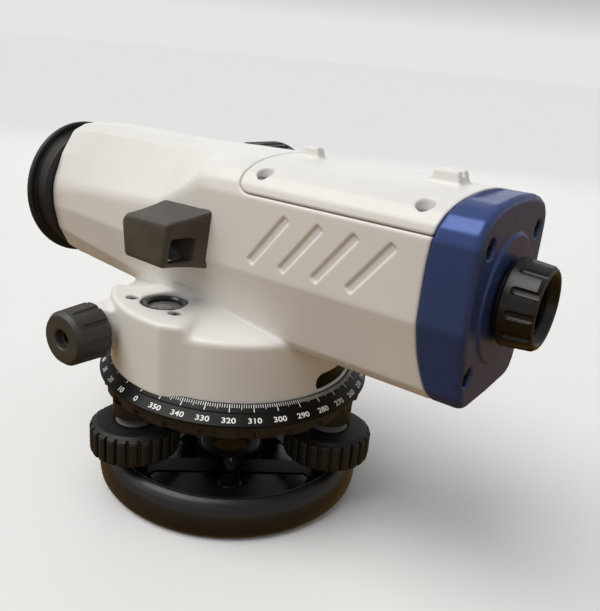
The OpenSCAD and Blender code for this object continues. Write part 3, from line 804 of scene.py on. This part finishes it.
def cavities():
    """The hollows of the housing, as in the CAD part, as (shape, lowest corner, highest corner)."""
    bosses = [rod(2, p, 100, 160, 4.2) for p in LID_SCREWS]
    bosses += [rod(0, (s * COVER_SCREW_Y, COVER_SCREW_Z[0]), -92, -80.5, 4.2) for s in (-1, 1)]
    pocket = less(box((-108, -24.8, 88), (-12, 24.8, 128)), *bosses)
    return [
        (rod(2, (0, 0), 40, 74, 43.5), (-45, -45, 50), (45, 45, 75)),
        (box((-108, -18.5, 76), (-12, 18.5, 106)), (-109, -20, 75), (-11, 20, 107)),
        (pocket, (-109, -26, 87), (-11, 26, 149)),
        (rod(0, (0, AXIS_Z), -13, 90, 19.8), (-14, -21, 83), (90, 21, 125)),
        (rod(2, (0, 0), 70, 84, 7), (-8, -8, 69), (8, 8, 85)),
        (rod(2, VIAL, 60, 77.5, 11.2), (-3, 19, 59), (22, 44, 78)),
        (rod(2, VIAL, 60, 71.8, 15.2), (-7, 15, 59), (26, 48, 73)),
        (rod(1, (WORM_X, WORM_Z), -60, 60, 5), (21, -62, 61), (34, 62, 74)),
        (rod(1, (FOCUS_X, FOCUS_Z), -60, -20, 5), (18, -62, 105), (30, -19, 118)),
    ]


def whole_housing():
    """Housing, lid and rear cover in one field, before the joints between them are cut."""
    whole = Field((-108, -49, 51), (89, 51.5, 143), BODY_STEP)
    whole.join(BODY)
    whole.join(revolved(DRUM_PROFILE), 1.5)
    whole.join(vial_lobe(), 1.4, (-30, -5, 50), (48, 52, 84))
    for side in (-1, 1):
        lo, hi = sorted((side * 34, side * TANGENT_BOSS_Y))
        near = ((14, lo - 5, 54), (42, hi + 4, 82))
        whole.join(rod(1, (WORM_X, WORM_Z), lo, hi, 7.6, 0.8), 1.5, *near)
        whole.join(box((WORM_X - 6, lo, 60), (WORM_X + 5.8, hi, WORM_Z + 8.1), 0.9), 1.5, *near)
    focus_boss = rod(1, (FOCUS_X, FOCUS_Z), -32, -20, 12, 0.8)
    whole.join(focus_boss, 2.0, (8, -36, 96), (40, -16, 128))
    whole.soften(0.55)
    return whole


def housing(whole):
    field = whole.part((-97, -49, 51), (89, 51.5, 143))
    field.keep(above(2, SKIRT_Z), 0.5)
    field.keep(below(0, FRONT_X), 0.8)
    field.keep(lambda x, y, z: SEAM_GAP - rear_boundary(x, y, z), 0.7)
    field.cut(lambda x, y, z: lid_region(x, y, z) - SEAM_GAP, 0.6, (-98, -35, 118), (-12, 35, 143))
    for shape, lo, hi in cavities():
        field.cut(shape, 0.0, lo, hi)
    field.cut(rod(2, VIAL, 70, 90, 8.9), 1.2, (-1, 20, 69), (20, 43, 84))
    for angle in VIAL_SCREW_ANGLES:
        dx, dy = around(VIAL_SCREW_R, angle)
        x = VIAL[0] + dx
        y = VIAL[1] + dy
        well = rod(2, (x, y), VIAL_TOP_Z - 2.2, 90, 2.4)
        field.cut(well, 0.7, (x - 5, y - 5, 74), (x + 5, y + 5, 84))
    window = turned_about(WINDOW_ANGLE, box((38, -14, 54), (52, 14, 60), 2.9))
    field.cut(window, 0.8, (-52, -22, 50), (-30, 16, 64))
    first_groove_x = -27.2
    groove_pitch = 12.9
    for side in (-1, 1):
        for k in range(4):
            x = first_groove_x - groove_pitch * k
            lo, hi = sorted((side * 26, side * 32))
            field.cut(side_groove(x, 103, side), 0.35, (x - 18, lo, 98), (x + 5, hi, 126))
    add_piece(field.piece("housing_casting"), "upper", "white_enamel", ("housing",))


def top_cover(whole):
    field = whole.part((-98, -33, 122), (-15, 33, 143))
    sights = ((-29.5, 8.4, 5.4, 5, 140.0), (-81, 11.5, 8.2, 9, 140.4))
    for place, length, top_length, width, top in sights:
        shape = sight(place, length, top_length, width, top)
        field.join(shape, 1.6, (place - 9, -8, 132), (place + 9, 8, 143))
    field.keep(lambda x, y, z: lid_region(x, y, z) + SEAM_GAP, 0.8)
    field.keep(lambda x, y, z: SEAM_GAP - rear_boundary(x, y, z), 0.7)
    bosses = [rod(2, p, 120, 160, 4.2) for p in LID_SCREWS]
    field.cut(less(box((-120, -25.6, 120), (-22, 25.6, 128.8)), *bosses))
    field.cut(less(box((-120, -21, 120), (-22, 21, 132.7)), *bosses))
    for x, y in LID_SCREWS:
        well = rod(2, (x, y), 128.6, 150, 2.7, end_radius=3.2)
        field.cut(well, 0.8, (x - 7, y - 7, 127), (x + 7, y + 7, 143))
    notch = box((-92, -1.0, 138.6), (-70, 1.0, 150))
    field.cut(notch, 0.5, (-90, -3, 137), (-72, 3, 143))
    add_piece(field.piece("top_cover_casting"), "upper", "white_enamel", ("top_cover",))


def end_cover(whole):
    centre = (0, AXIS_Z)
    inner_x = REAR_X + 3
    field = whole.part((-108, -33, 70), (-86, 33, 139))
    field.keep(lambda x, y, z: rear_boundary(x, y, z) + SEAM_GAP, 0.7)
    field.keep(above(0, REAR_X), 2.6)
    boss = rod(0, centre, REAR_X - 0.7, REAR_X + 2, 20.5)
    field.join(boss, 0.8, (-108, -24, 82), (-102, 24, 128))
    step = box((-102.2, -17.5, 135.1), (-94.2, 17.5, 140), 0.4)
    field.cut(step, 0.4, (-105, -20, 131), (-91, 20, 139))
    screws = [(s * COVER_SCREW_Y, z) for s in (-1, 1) for z in COVER_SCREW_Z]
    bosses = [rod(0, p, -112, -80, 4.4) for p in screws]
    field.cut(less(box((inner_x, -24.5, 88), (-80, 24.5, 130)), *bosses))
    field.cut(box((inner_x, -15, 76), (-80, 15, 96)))
    field.cut(rod(0, centre, -112, -96, 10.6), 0.5)
    for y, z in screws:
        well = rod(0, (y, z), REAR_X - 5, REAR_X + 2.7, 2.9)
        field.cut(well, 0.9, (-108, y - 6, z - 6), (-100, y + 6, z + 6))
    add_piece(field.piece("end_cover_moulding"), "upper", "blue_cover", ("end_cover",))


def sight(place, length, top_length, width, top):
    """A sighting block on the lid, tapering to its top."""
    foot = 135

    def shape(x, y, z):
        taper = (z - foot) / (top - foot)
        half = (length + (top_length - length) * taper) / 2
        faces = [np.abs(x - place) - half, np.abs(y) - (width - 1.2 * taper) / 2 + 0 * x, z - top + 0 * x]
        return rounded(faces, 0.6)

    return shape


housing_field = whole_housing()
housing(housing_field)
top_cover(housing_field)
end_cover(housing_field)

# ---- hoods ----

HOOD_CONE_X = 91.8
HOOD_CONE_R = 26.2
HOOD_FLANGE_X = 93.6
HOOD_END_X = 96
HOOD_R = 29.2
HOOD_BORE_R = 17.6


def hood_skin(x, y, z):
    """The body's front section, drawn in a little, opening out to a circle."""
    section = mirrored(shrunk(FRONT_SECTION, BODY_CORNER + 0.6))
    body = outline_distance(y[0], z[0], section)[None] - BODY_CORNER
    circle = np.hypot(y, z - AXIS_Z) - HOOD_CONE_R
    share = np.clip((x - FRONT_X) / (HOOD_CONE_X - FRONT_X), 0, 1)
    return body * (1 - share) + circle * share


def objective_hood():
    centre = (0, AXIS_Z)
    hood = Field((83, -31, 73), (97.5, 31, 135.5), 0.45)
    hood.join(both(hood_skin, below(0, HOOD_CONE_X + 0.3)))
    hood.join(rod(0, centre, FRONT_X, HOOD_END_X - 1, HOOD_CONE_R + 0.2, 0.2))
    hood.join(rod(0, centre, HOOD_FLANGE_X, HOOD_END_X, HOOD_R, 0.8))
    hood.keep(either(above(0, FRONT_X), rod(0, centre, 84, 90, 19.7)))
    hood.cut(rod(0, centre, 80, 90, HOOD_BORE_R))
    hood.cut(rod(0, centre, 89, 97, HOOD_BORE_R, end_radius=25.5), 0.6)
    first_ring_x = 89.6
    ring_pitch = 1.1
    ring_width = 0.5
    for k in range(5):
        x = first_ring_x + ring_pitch * k
        hood.cut(rod(0, centre, x, x + ring_width, HOOD_BORE_R + 1.4 + k), 0.2)
    add_piece(hood.piece("objective_hood_moulding"), "upper", "black_plastic", ("objective_hood",))


PRISM_FACE_Y = 44.2
PRISM_ROOT_Y = 27.5
PRISM_FACE = ((18, 97.3), (19.3, 110.2), (17, 113), (-4.1, 113.3), (-1.4, 96.5))
PRISM_ROOT = ((19.4, 94.6), (18, 112.5), (15, 116.2), (-11.4, 118), (-8.4, 95.2))


def prism_skin(x, y, z):
    """The viewing prism's hood: its outline flares towards the telescope."""
    out = np.empty((x.size, y.size, z.size), np.float32)
    for k, at in enumerate(y.ravel()):
        share = np.clip((PRISM_FACE_Y - at) / (PRISM_FACE_Y - PRISM_ROOT_Y), 0, 1) ** 1.8
        outline = np.array(PRISM_FACE) * (1 - share) + np.array(PRISM_ROOT) * share
        out[:, k] = outline_distance(x[:, 0], z[0], outline)
    return out


def prism_hood():
    hood = Field((-12, 24, 92), (22, 45.5, 119), 0.35)
    hood.join(both(prism_skin, below(1, PRISM_FACE_Y), blend=1.2))
    hood.soften(0.75)
    hood.cut(BODY, 0.3)
    hood.cut(box((-14, 33.1, 98.4), (10, 41.8, 107.2), 0.6), 0.5)
    hood.cut(box((1, 32, 90), (9.5, 42, 100), 0.6), 0.5)
    # The hood's look carries painted sheen in its lighter grey-black.
    add_piece(hood.piece("prism_hood_moulding"), "upper", "black_plastic", ("prism_housing",), HOOD_BLACK_PAINTED_SHEEN)


objective_hood()
prism_hood()

# ---- knobs ----

UNCAPPED = 99  # a radius beyond that of any turned piece


def from_nearest(angle, count):
    """How far an angle is from the nearest of so many evenly spaced ones."""
    pitch = 2 * math.pi / count
    return np.abs((angle + pitch / 2) % pitch - pitch / 2)


def grooved(count, width, depth, wall, start=-9.0, end=99.0):
    """Caps the radius of a turned piece along straight grooves with round ends.
    wall(height) is the radius of the surface that they are cut in."""

    def limit(angle, height):
        radius = wall(height)
        past = np.maximum(height - end, 0) + np.maximum(start - height, 0)
        share = np.hypot(from_nearest(angle, count) * radius, past) / (width / 2)
        dip = np.maximum(1 - share**4, 0) ** 0.5
        return np.where(share < 1, radius - depth * dip, UNCAPPED)

    return limit


def ribbed(count, width, depth, crown, radius):
    """Caps the radius of a turned piece so that it has rounded ribs with narrow gaps between."""

    def limit(angle, height):
        share = from_nearest(angle, count) * radius / (width / 2)
        rib = radius - crown * share**3
        return np.where(share < 1, rib, radius - depth) + 0 * height

    return limit


def tangent_knobs():
    length = TANGENT_KNOB_L
    outline = [
        (2.55, 0), (10.3, 0), (10.6, 0.4), (10.05, length - 1.5), (8.8, length), (4, length),
        (3.6, length - 0.4), (3.4, length - 3), (2.55, length - 3),
    ]
    outline = divided(rounded_outline(outline, 0.3, 3), 0.45)
    limit = grooved(10, 2.0, 0.85, lambda height: 10.6 - 0.55 * height / length, end=length - 4.2)
    for name, side in (("left", 1), ("right", -1)):
        place = lying(WORM_X, side * TANGENT_KNOB_Y, WORM_Z, "+y" if side > 0 else "-y")
        knob = spun(f"tangent_knob_{name}_moulding", outline, 400, place, limit)
        add_piece(knob, "tangent_screw", "black_plastic", (f"tangent_knob_{name}",), KNOB_BLACK)


def foot_knobs():
    top = KNOB_TOP_Z - KNOB_BOTTOM_Z
    outline = [
        (3.55, 0), (15.3, 0), (16.9, 0.9), (17.2, 2.4), (17.2, top - 2.6), (16.8, top - 1.5), (15.8, top - 1),
        (15.4, top - 0.6), (14.7, top), (8.6, top), (8.2, top - 0.3), (3.55, top - 0.3),
    ]
    outline = divided(rounded_outline(outline, 0.5, 3), 0.6)
    limit = ribbed(24, 3.3, 1.5, 0.55, 17.2)
    for letter, angle in zip("abc", FOOT_ANGLES):
        place = upright(*around(FOOT_CIRCLE_R, angle), KNOB_BOTTOM_Z)
        knob = spun(f"foot_knob_{letter}_moulding", outline, 480, place, limit)
        add_piece(knob, f"foot_screw_{letter}", "black_plastic", (f"foot_knob_{letter}",), FOOT_KNOB_BLACK)


def focus_knob():
    outline = [
        (3.05, 0), (20.4, 0), (21, 0.6), (20.65, 17.6), (19.2, 19), (14, 19), (13.2, 18.2), (12.6, 17.6),
        (5.5, 17.6), (5, 17.3), (3.05, 17.3),
    ]
    outline = divided(rounded_outline(outline, 0.4, 3), 0.8)
    limit = grooved(36, 1.9, 0.8, lambda height: 21 - 0.35 * height / 19, start=2, end=16.4)
    knob = spun("focus_knob_moulding", outline, 720, lying(FOCUS_X, -33, FOCUS_Z, "-y"), limit)
    add_piece(knob, "focus_drive", "black_plastic", ("focus_knob",))


def eyepiece_ring():
    outline = [
        (10.6, 0), (12.8, 0), (12.8, 1.3), (13.9, 1.3), (14.2, 1.8), (13.3, 10.9), (12.6, 11.9), (12, 12.2),
        (11.4, 12.2), (10.8, 11.8), (9.4, 9.6), (9.3, 8.2), (10.6, 8.2),
    ]
    outline = divided(rounded_outline(outline, 0.35, 3), 0.45)
    limit = grooved(12, 2.5, 0.95, lambda height: 14.3 - 0.95 * height / 12, start=5)
    place = lying(REAR_X - 1.1, 0, AXIS_Z, "-x")
    ring = spun("eyepiece_ring_moulding", outline, 432, place, limit)
    add_piece(ring, "diopter_ring", "black_plastic", ("eyepiece_ring",), EYEPIECE_BLACK)


tangent_knobs()
foot_knobs()
focus_knob()
eyepiece_ring()

# ---- graduated circle ----

# (radius, z) of the edges of the cone with the numbers and of the one with the ticks
NUMBERS_LOW = Vector((53.6, 48.5))
NUMBERS_HIGH = Vector((50.5, 51.1))
TICKS_LOW = Vector((50.2, 51.5))
TICKS_HIGH = Vector((47.5, 53.4))
NUMBER_SIZE = 2.75
NUMBER_STRETCH = 1.22


def circle_body():
    scale = [
        (47.1, 46.9), (52.6, 46.9), (53.4, 47.2), (54, 47.6), (54, 48.2), NUMBERS_LOW, NUMBERS_HIGH,
        (50.45, 51.45), TICKS_LOW, TICKS_HIGH, (47.1, 53.4),
    ]
    body = spun("circle_scale", divided(scale, 0.7), 480, upright(0, 0, 0))
    add_piece(body, "circle", "black_plastic", (), CIRCLE_BLACK)
    band = [
        (17.05, 42.2), (48, 42.2), (48, 42), (51.9, 42), (52.3, 42.5), (52.6, 46.9), (47.1, 46.9), (47.1, 45),
        (17.05, 45),
    ]
    notch_half = math.radians(3.4)
    notch_r = 50.9
    notch_top = 44.9

    def limit(angle, height):
        in_notch = (from_nearest(angle, 24) < notch_half) & (height < notch_top)
        return np.where(in_notch, notch_r, UNCAPPED)

    # The grip band's look carries a painted warm reflection in its brown tint.
    grip = spun("circle_grip", divided(band, 0.7), 720, upright(0, 0, 0), limit)
    add_piece(grip, "circle", "black_plastic", ("horizontal_circle",), GRIP_BAND_PAINTED_WARM_REFLECTION)


def dial_angle(number):
    """The direction of a number of the circle, which counts clockwise."""
    return math.radians(ZERO_ANGLE - number)


BLOCK_FACES = ((0, 1, 2, 3), (4, 7, 6, 5), (0, 4, 5, 1), (1, 5, 6, 2), (2, 6, 7, 3), (3, 7, 4, 0))


def circle_ticks():
    """A mark for each degree, longer at fives and tens, standing a hair above the circle."""
    points = []
    faces = []
    slope = (TICKS_LOW - TICKS_HIGH).normalized()
    rise = Vector((-slope.y, slope.x)) * 0.035
    for number in range(360):
        length = 3.2 if number % 10 == 0 else 2.1 if number % 5 == 0 else 1.5
        half = 0.15 if number % 10 == 0 else 0.11
        first = len(points)
        angle = dial_angle(number)
        out = Vector((math.cos(angle), math.sin(angle), 0))
        along = Vector((-math.sin(angle), math.cos(angle), 0))
        for down in (0.12, length):
            for side, lift in ((-1, -1), (-1, 1), (1, 1), (1, -1)):
                spot = TICKS_HIGH + slope * down + rise * lift
                points.append((out * spot.x + along * side * half + Vector((0, 0, spot.y))) * MM)
        faces += [tuple(first + k for k in face) for face in BLOCK_FACES]
    add_piece(mesh_object("circle_ticks", points, faces), "circle", "black_plastic", (), MARKS)


def circle_numbers():
    """The numbers of the circle, every ten degrees, wrapped round its cone."""
    points = []
    faces = []
    middle = NUMBERS_LOW.lerp(NUMBERS_HIGH, 0.37)
    slope = (NUMBERS_HIGH - NUMBERS_LOW).normalized()
    normal = Vector((slope.y, -slope.x))
    for number in range(0, 360, 10):
        curve = bpy.data.curves.new("number", "FONT")
        curve.body = str(number)
        curve.size = NUMBER_SIZE
        curve.align_x = "CENTER"
        curve.align_y = "CENTER"
        curve.offset = 0.045
        curve.extrude = 0.05
        curve.space_character = 1.02
        lettering = in_scene("number", curve)
        mesh = bpy.data.meshes.new_from_object(lettering)
        first = len(points)
        for vertex in mesh.vertices:
            across, up, lift = vertex.co
            angle = dial_angle(number) + across * NUMBER_STRETCH / middle.x
            spot = middle + slope * up + normal * lift
            points.append((math.cos(angle) * spot.x * MM, math.sin(angle) * spot.x * MM, spot.y * MM))
        faces += [tuple(first + k for k in polygon.vertices) for polygon in mesh.polygons]
        bpy.data.objects.remove(lettering)
        bpy.data.meshes.remove(mesh)
        bpy.data.curves.remove(curve)
    add_piece(mesh_object("circle_numbers", points, faces), "circle", "black_plastic", (), MARKS)


circle_body()
circle_ticks()
circle_numbers()

# ---- base dish, reading window and vial ----

DISH_PROFILE = (
    (0, 0), (50.6, 0), (52.6, 0.9), (53.8, 2.8), (54.2, 5.6), (54.1, 8.4), (53.6, 10.8), (52.6, 13),
    (51.4, 14.6), (50.2, 15.6), (49.2, 16), (48.4, 15.7), (47.6, 14.9), (47.5, 14), (47.5, 4), (0, 4),
)
BALL_R = 4.1
BALL_Z = 8.5


def foot_seat(x, y):
    """The socket of one ball foot: a half ball, open upwards."""

    def ball(px, py, pz):
        return np.sqrt((px - x) ** 2 + (py - y) ** 2 + (pz - BALL_Z) ** 2) - BALL_R

    return either(rod(2, (x, y), BALL_Z, 20, BALL_R), ball)


def base_dish():
    screw_circle_r = FOOT_CIRCLE_R / 2
    feet = [around(FOOT_CIRCLE_R, angle) for angle in FOOT_ANGLES]
    screws = [around(screw_circle_r, angle + 60) for angle in FOOT_ANGLES]
    dish = Field((-55.5, -55.5, -1), (55.5, 55.5, 17.5), 0.6)
    dish.join(revolved(DISH_PROFILE))
    dish.join(rod(2, (0, 0), 1, 11, 13, 0.6), 1.0)
    for foot, screw in zip(feet, screws):
        dish.join(rod(2, foot, 1, 9, 6.2, 0.4), 0.8)
        dish.join(rod(2, screw, 1, 11.15, 4, 0.4), 0.8)
    for foot, screw in zip(feet, screws):
        dish.cut(rod(2, foot, 9, 11.4, 6.8))
        dish.cut(rod(2, foot, 9, 20, 5.8))
        dish.cut(foot_seat(*foot))
        dish.cut(rod(2, screw, 5, 15, 1.55))
    dish.cut(rod(2, (0, 0), -2, 13, 7.94), 0.5)
    add_piece(dish.piece("base_dish"), "base", "black_base", ("base_plate",))


def reading_window():
    """A near-black pane in the window of the drum, curved as the drum is. It is painted shade, standing in
    for the shaded inside seen through the glass.
    """
    pane_r = 45.5
    half_thickness = 0.5

    def skin(x, y, z):
        return np.abs(np.hypot(x, y) - pane_r) - half_thickness + 0 * z

    pane = Field((-49, -18, 52.5), (-38, 12, 61.5), 0.3)
    stadium = turned_about(WINDOW_ANGLE, box((38, -13.9, 54.1), (52, 13.9, 59.9), 2.8))
    pane.join(both(stadium, skin, blend=0.3))
    add_piece(pane.piece("reading_window_pane"), "upper", "optical_glass", ("circle_window",), WINDOW_GLASS_PAINTED_SHADE)


def vial():
    """The circular vial in its well: black ring, liquid and centre mark."""
    x, y = VIAL
    ring = [(6.3, 0), (8.75, 0), (8.75, 3.0), (8.3, 4.2), (7.4, 4.3), (6.4, 3.6)]
    ring = divided(rounded_outline(ring, 0.5, 4), 0.4)
    piece = spun("vial_ring", ring, 128, upright(x, y, 74.6), sharp=60)
    add_piece(piece, "upper", "black_plastic", (), VIAL_RING)
    liquid = [(0, 0), (6.9, 0), (6.9, 0.6), (0, 0.6)]
    piece = spun("vial_liquid", liquid, 96, upright(x, y, 75.9))
    add_piece(piece, "upper", "optical_glass", (), VIAL_LIQUID)
    mark = [(2.9, 0), (3.25, 0), (3.25, 0.12), (2.9, 0.12)]
    piece = spun("vial_centre_mark", mark, 96, upright(x, y, 76.5))
    add_piece(piece, "upper", "black_plastic", (), VIAL_RING)


base_dish()
reading_window()
vial()

# ---- camera, light and floor ----


def photo_camera():
    """The camera at the photograph's viewing angle."""
    forward = Vector((0.52312, -0.78336, -0.33569)).normalized()
    level_right = forward.cross(Vector((0, 0, 1))).normalized()
    level_up = level_right.cross(forward)
    roll = math.radians(5.288)
    right = level_right * math.cos(roll) + level_up * math.sin(roll)
    up = level_up * math.cos(roll) - level_right * math.sin(roll)
    data = bpy.data.cameras.new("camera")
    data.lens = 41.065
    data.clip_start = 0.01
    camera = in_scene("camera", data)
    turn = Matrix((right, up, -forward)).transposed().to_4x4()
    camera.matrix_world = Matrix.Translation(Vector((-166.87, 205.54, 169.03)) * MM) @ turn
    bpy.context.scene.camera = camera


def soft_light(name, place, size, power, colour):
    """A rectangular light that looks at the middle of the object."""
    target = (0, 0, 80)
    data = bpy.data.lights.new(name, "AREA")
    data.shape = "RECTANGLE"
    data.size = size[0] * MM
    data.size_y = size[1] * MM
    data.energy = power
    data.color = colour
    aim = (Vector(target) - Vector(place)).to_track_quat("-Z", "Y")
    matrix = Matrix.Translation(Vector(place) * MM) @ aim.to_matrix().to_4x4()
    in_scene(name, data).matrix_world = matrix


TABLE_DARK = (0.16, 0.09, 0.028)
TABLE = (0.31, 0.185, 0.06)
HORIZON = (0.78, 0.78, 0.77)
ROOM_LOW = (0.4, 0.4, 0.4)
ROOM_HIGH = (0.36, 0.365, 0.37)


def studio():
    """A pale, even room over a brown table, so that undersides and blacks take a warm tone."""
    world = bpy.data.worlds.new("studio")
    world.use_nodes = True
    tree = world.node_tree
    place = new_node(tree, "TexCoord")
    split = new_node(tree, "SeparateXYZ", Vector=place.outputs["Generated"])
    height = new_node(tree, "MapRange", Value=split.outputs["Z"], From_Min=-1)
    ramp = new_node(tree, "ValToRGB", Fac=height.outputs["Result"])
    feed(tree, tree.nodes["Background"], {"Color": ramp.outputs["Color"]})
    bands = (
        (0, TABLE_DARK), (0.472, TABLE), (0.495, HORIZON),
        (0.525, HORIZON), (0.56, ROOM_LOW), (0.7, ROOM_HIGH),
    )
    stops = ramp.color_ramp.elements
    stops.remove(stops[1])
    stops[0].position = bands[0][0]
    for position, _ in bands[1:]:
        stops.new(position)
    for stop, (_, colour) in zip(stops, bands):
        stop.color = (*colour, 1)
    bpy.context.scene.world = world
    bpy.context.scene.view_settings.view_transform = "Standard"
    data = bpy.data.lights.new("ceiling", "SUN")
    data.energy = 2.25
    data.angle = math.radians(50)
    data.color = (1, 0.985, 0.96)
    aim = Vector((-0.27, -0.37, -0.89)).to_track_quat("-Z", "Y")
    in_scene("ceiling", data).rotation_euler = aim.to_euler()
    soft_light("window_left", (420, 460, 380), (300, 300), 0.35, (0.97, 0.98, 1))
    soft_light("window_back", (520, -780, 430), (900, 480), 0.9, (0.98, 0.99, 1))


def floor():
    """A wide pale floor that takes shadows but doesn't light the object from below."""
    reach = 30000
    points = [(x * MM, y * MM, 0.0) for y in (-reach, reach) for x in (-reach, reach)]
    obj = mesh_object("floor", points, [(0, 1, 3, 2)])
    look = Look("pale_floor")
    tone = look.noise(120, detail=2)
    pale = linear(232, 232, 231)
    colour = look.mixed(look.spread(tone, 0.3, 0.7, 0, 1), tinted(pale, 0.985), pale)
    look.set(Base_Color=colour, Roughness=0.6, Specular_IOR_Level=0.2)
    dress(obj, look)
    obj.visible_diffuse = False
    obj.visible_glossy = False


photo_camera()
studio()
floor()
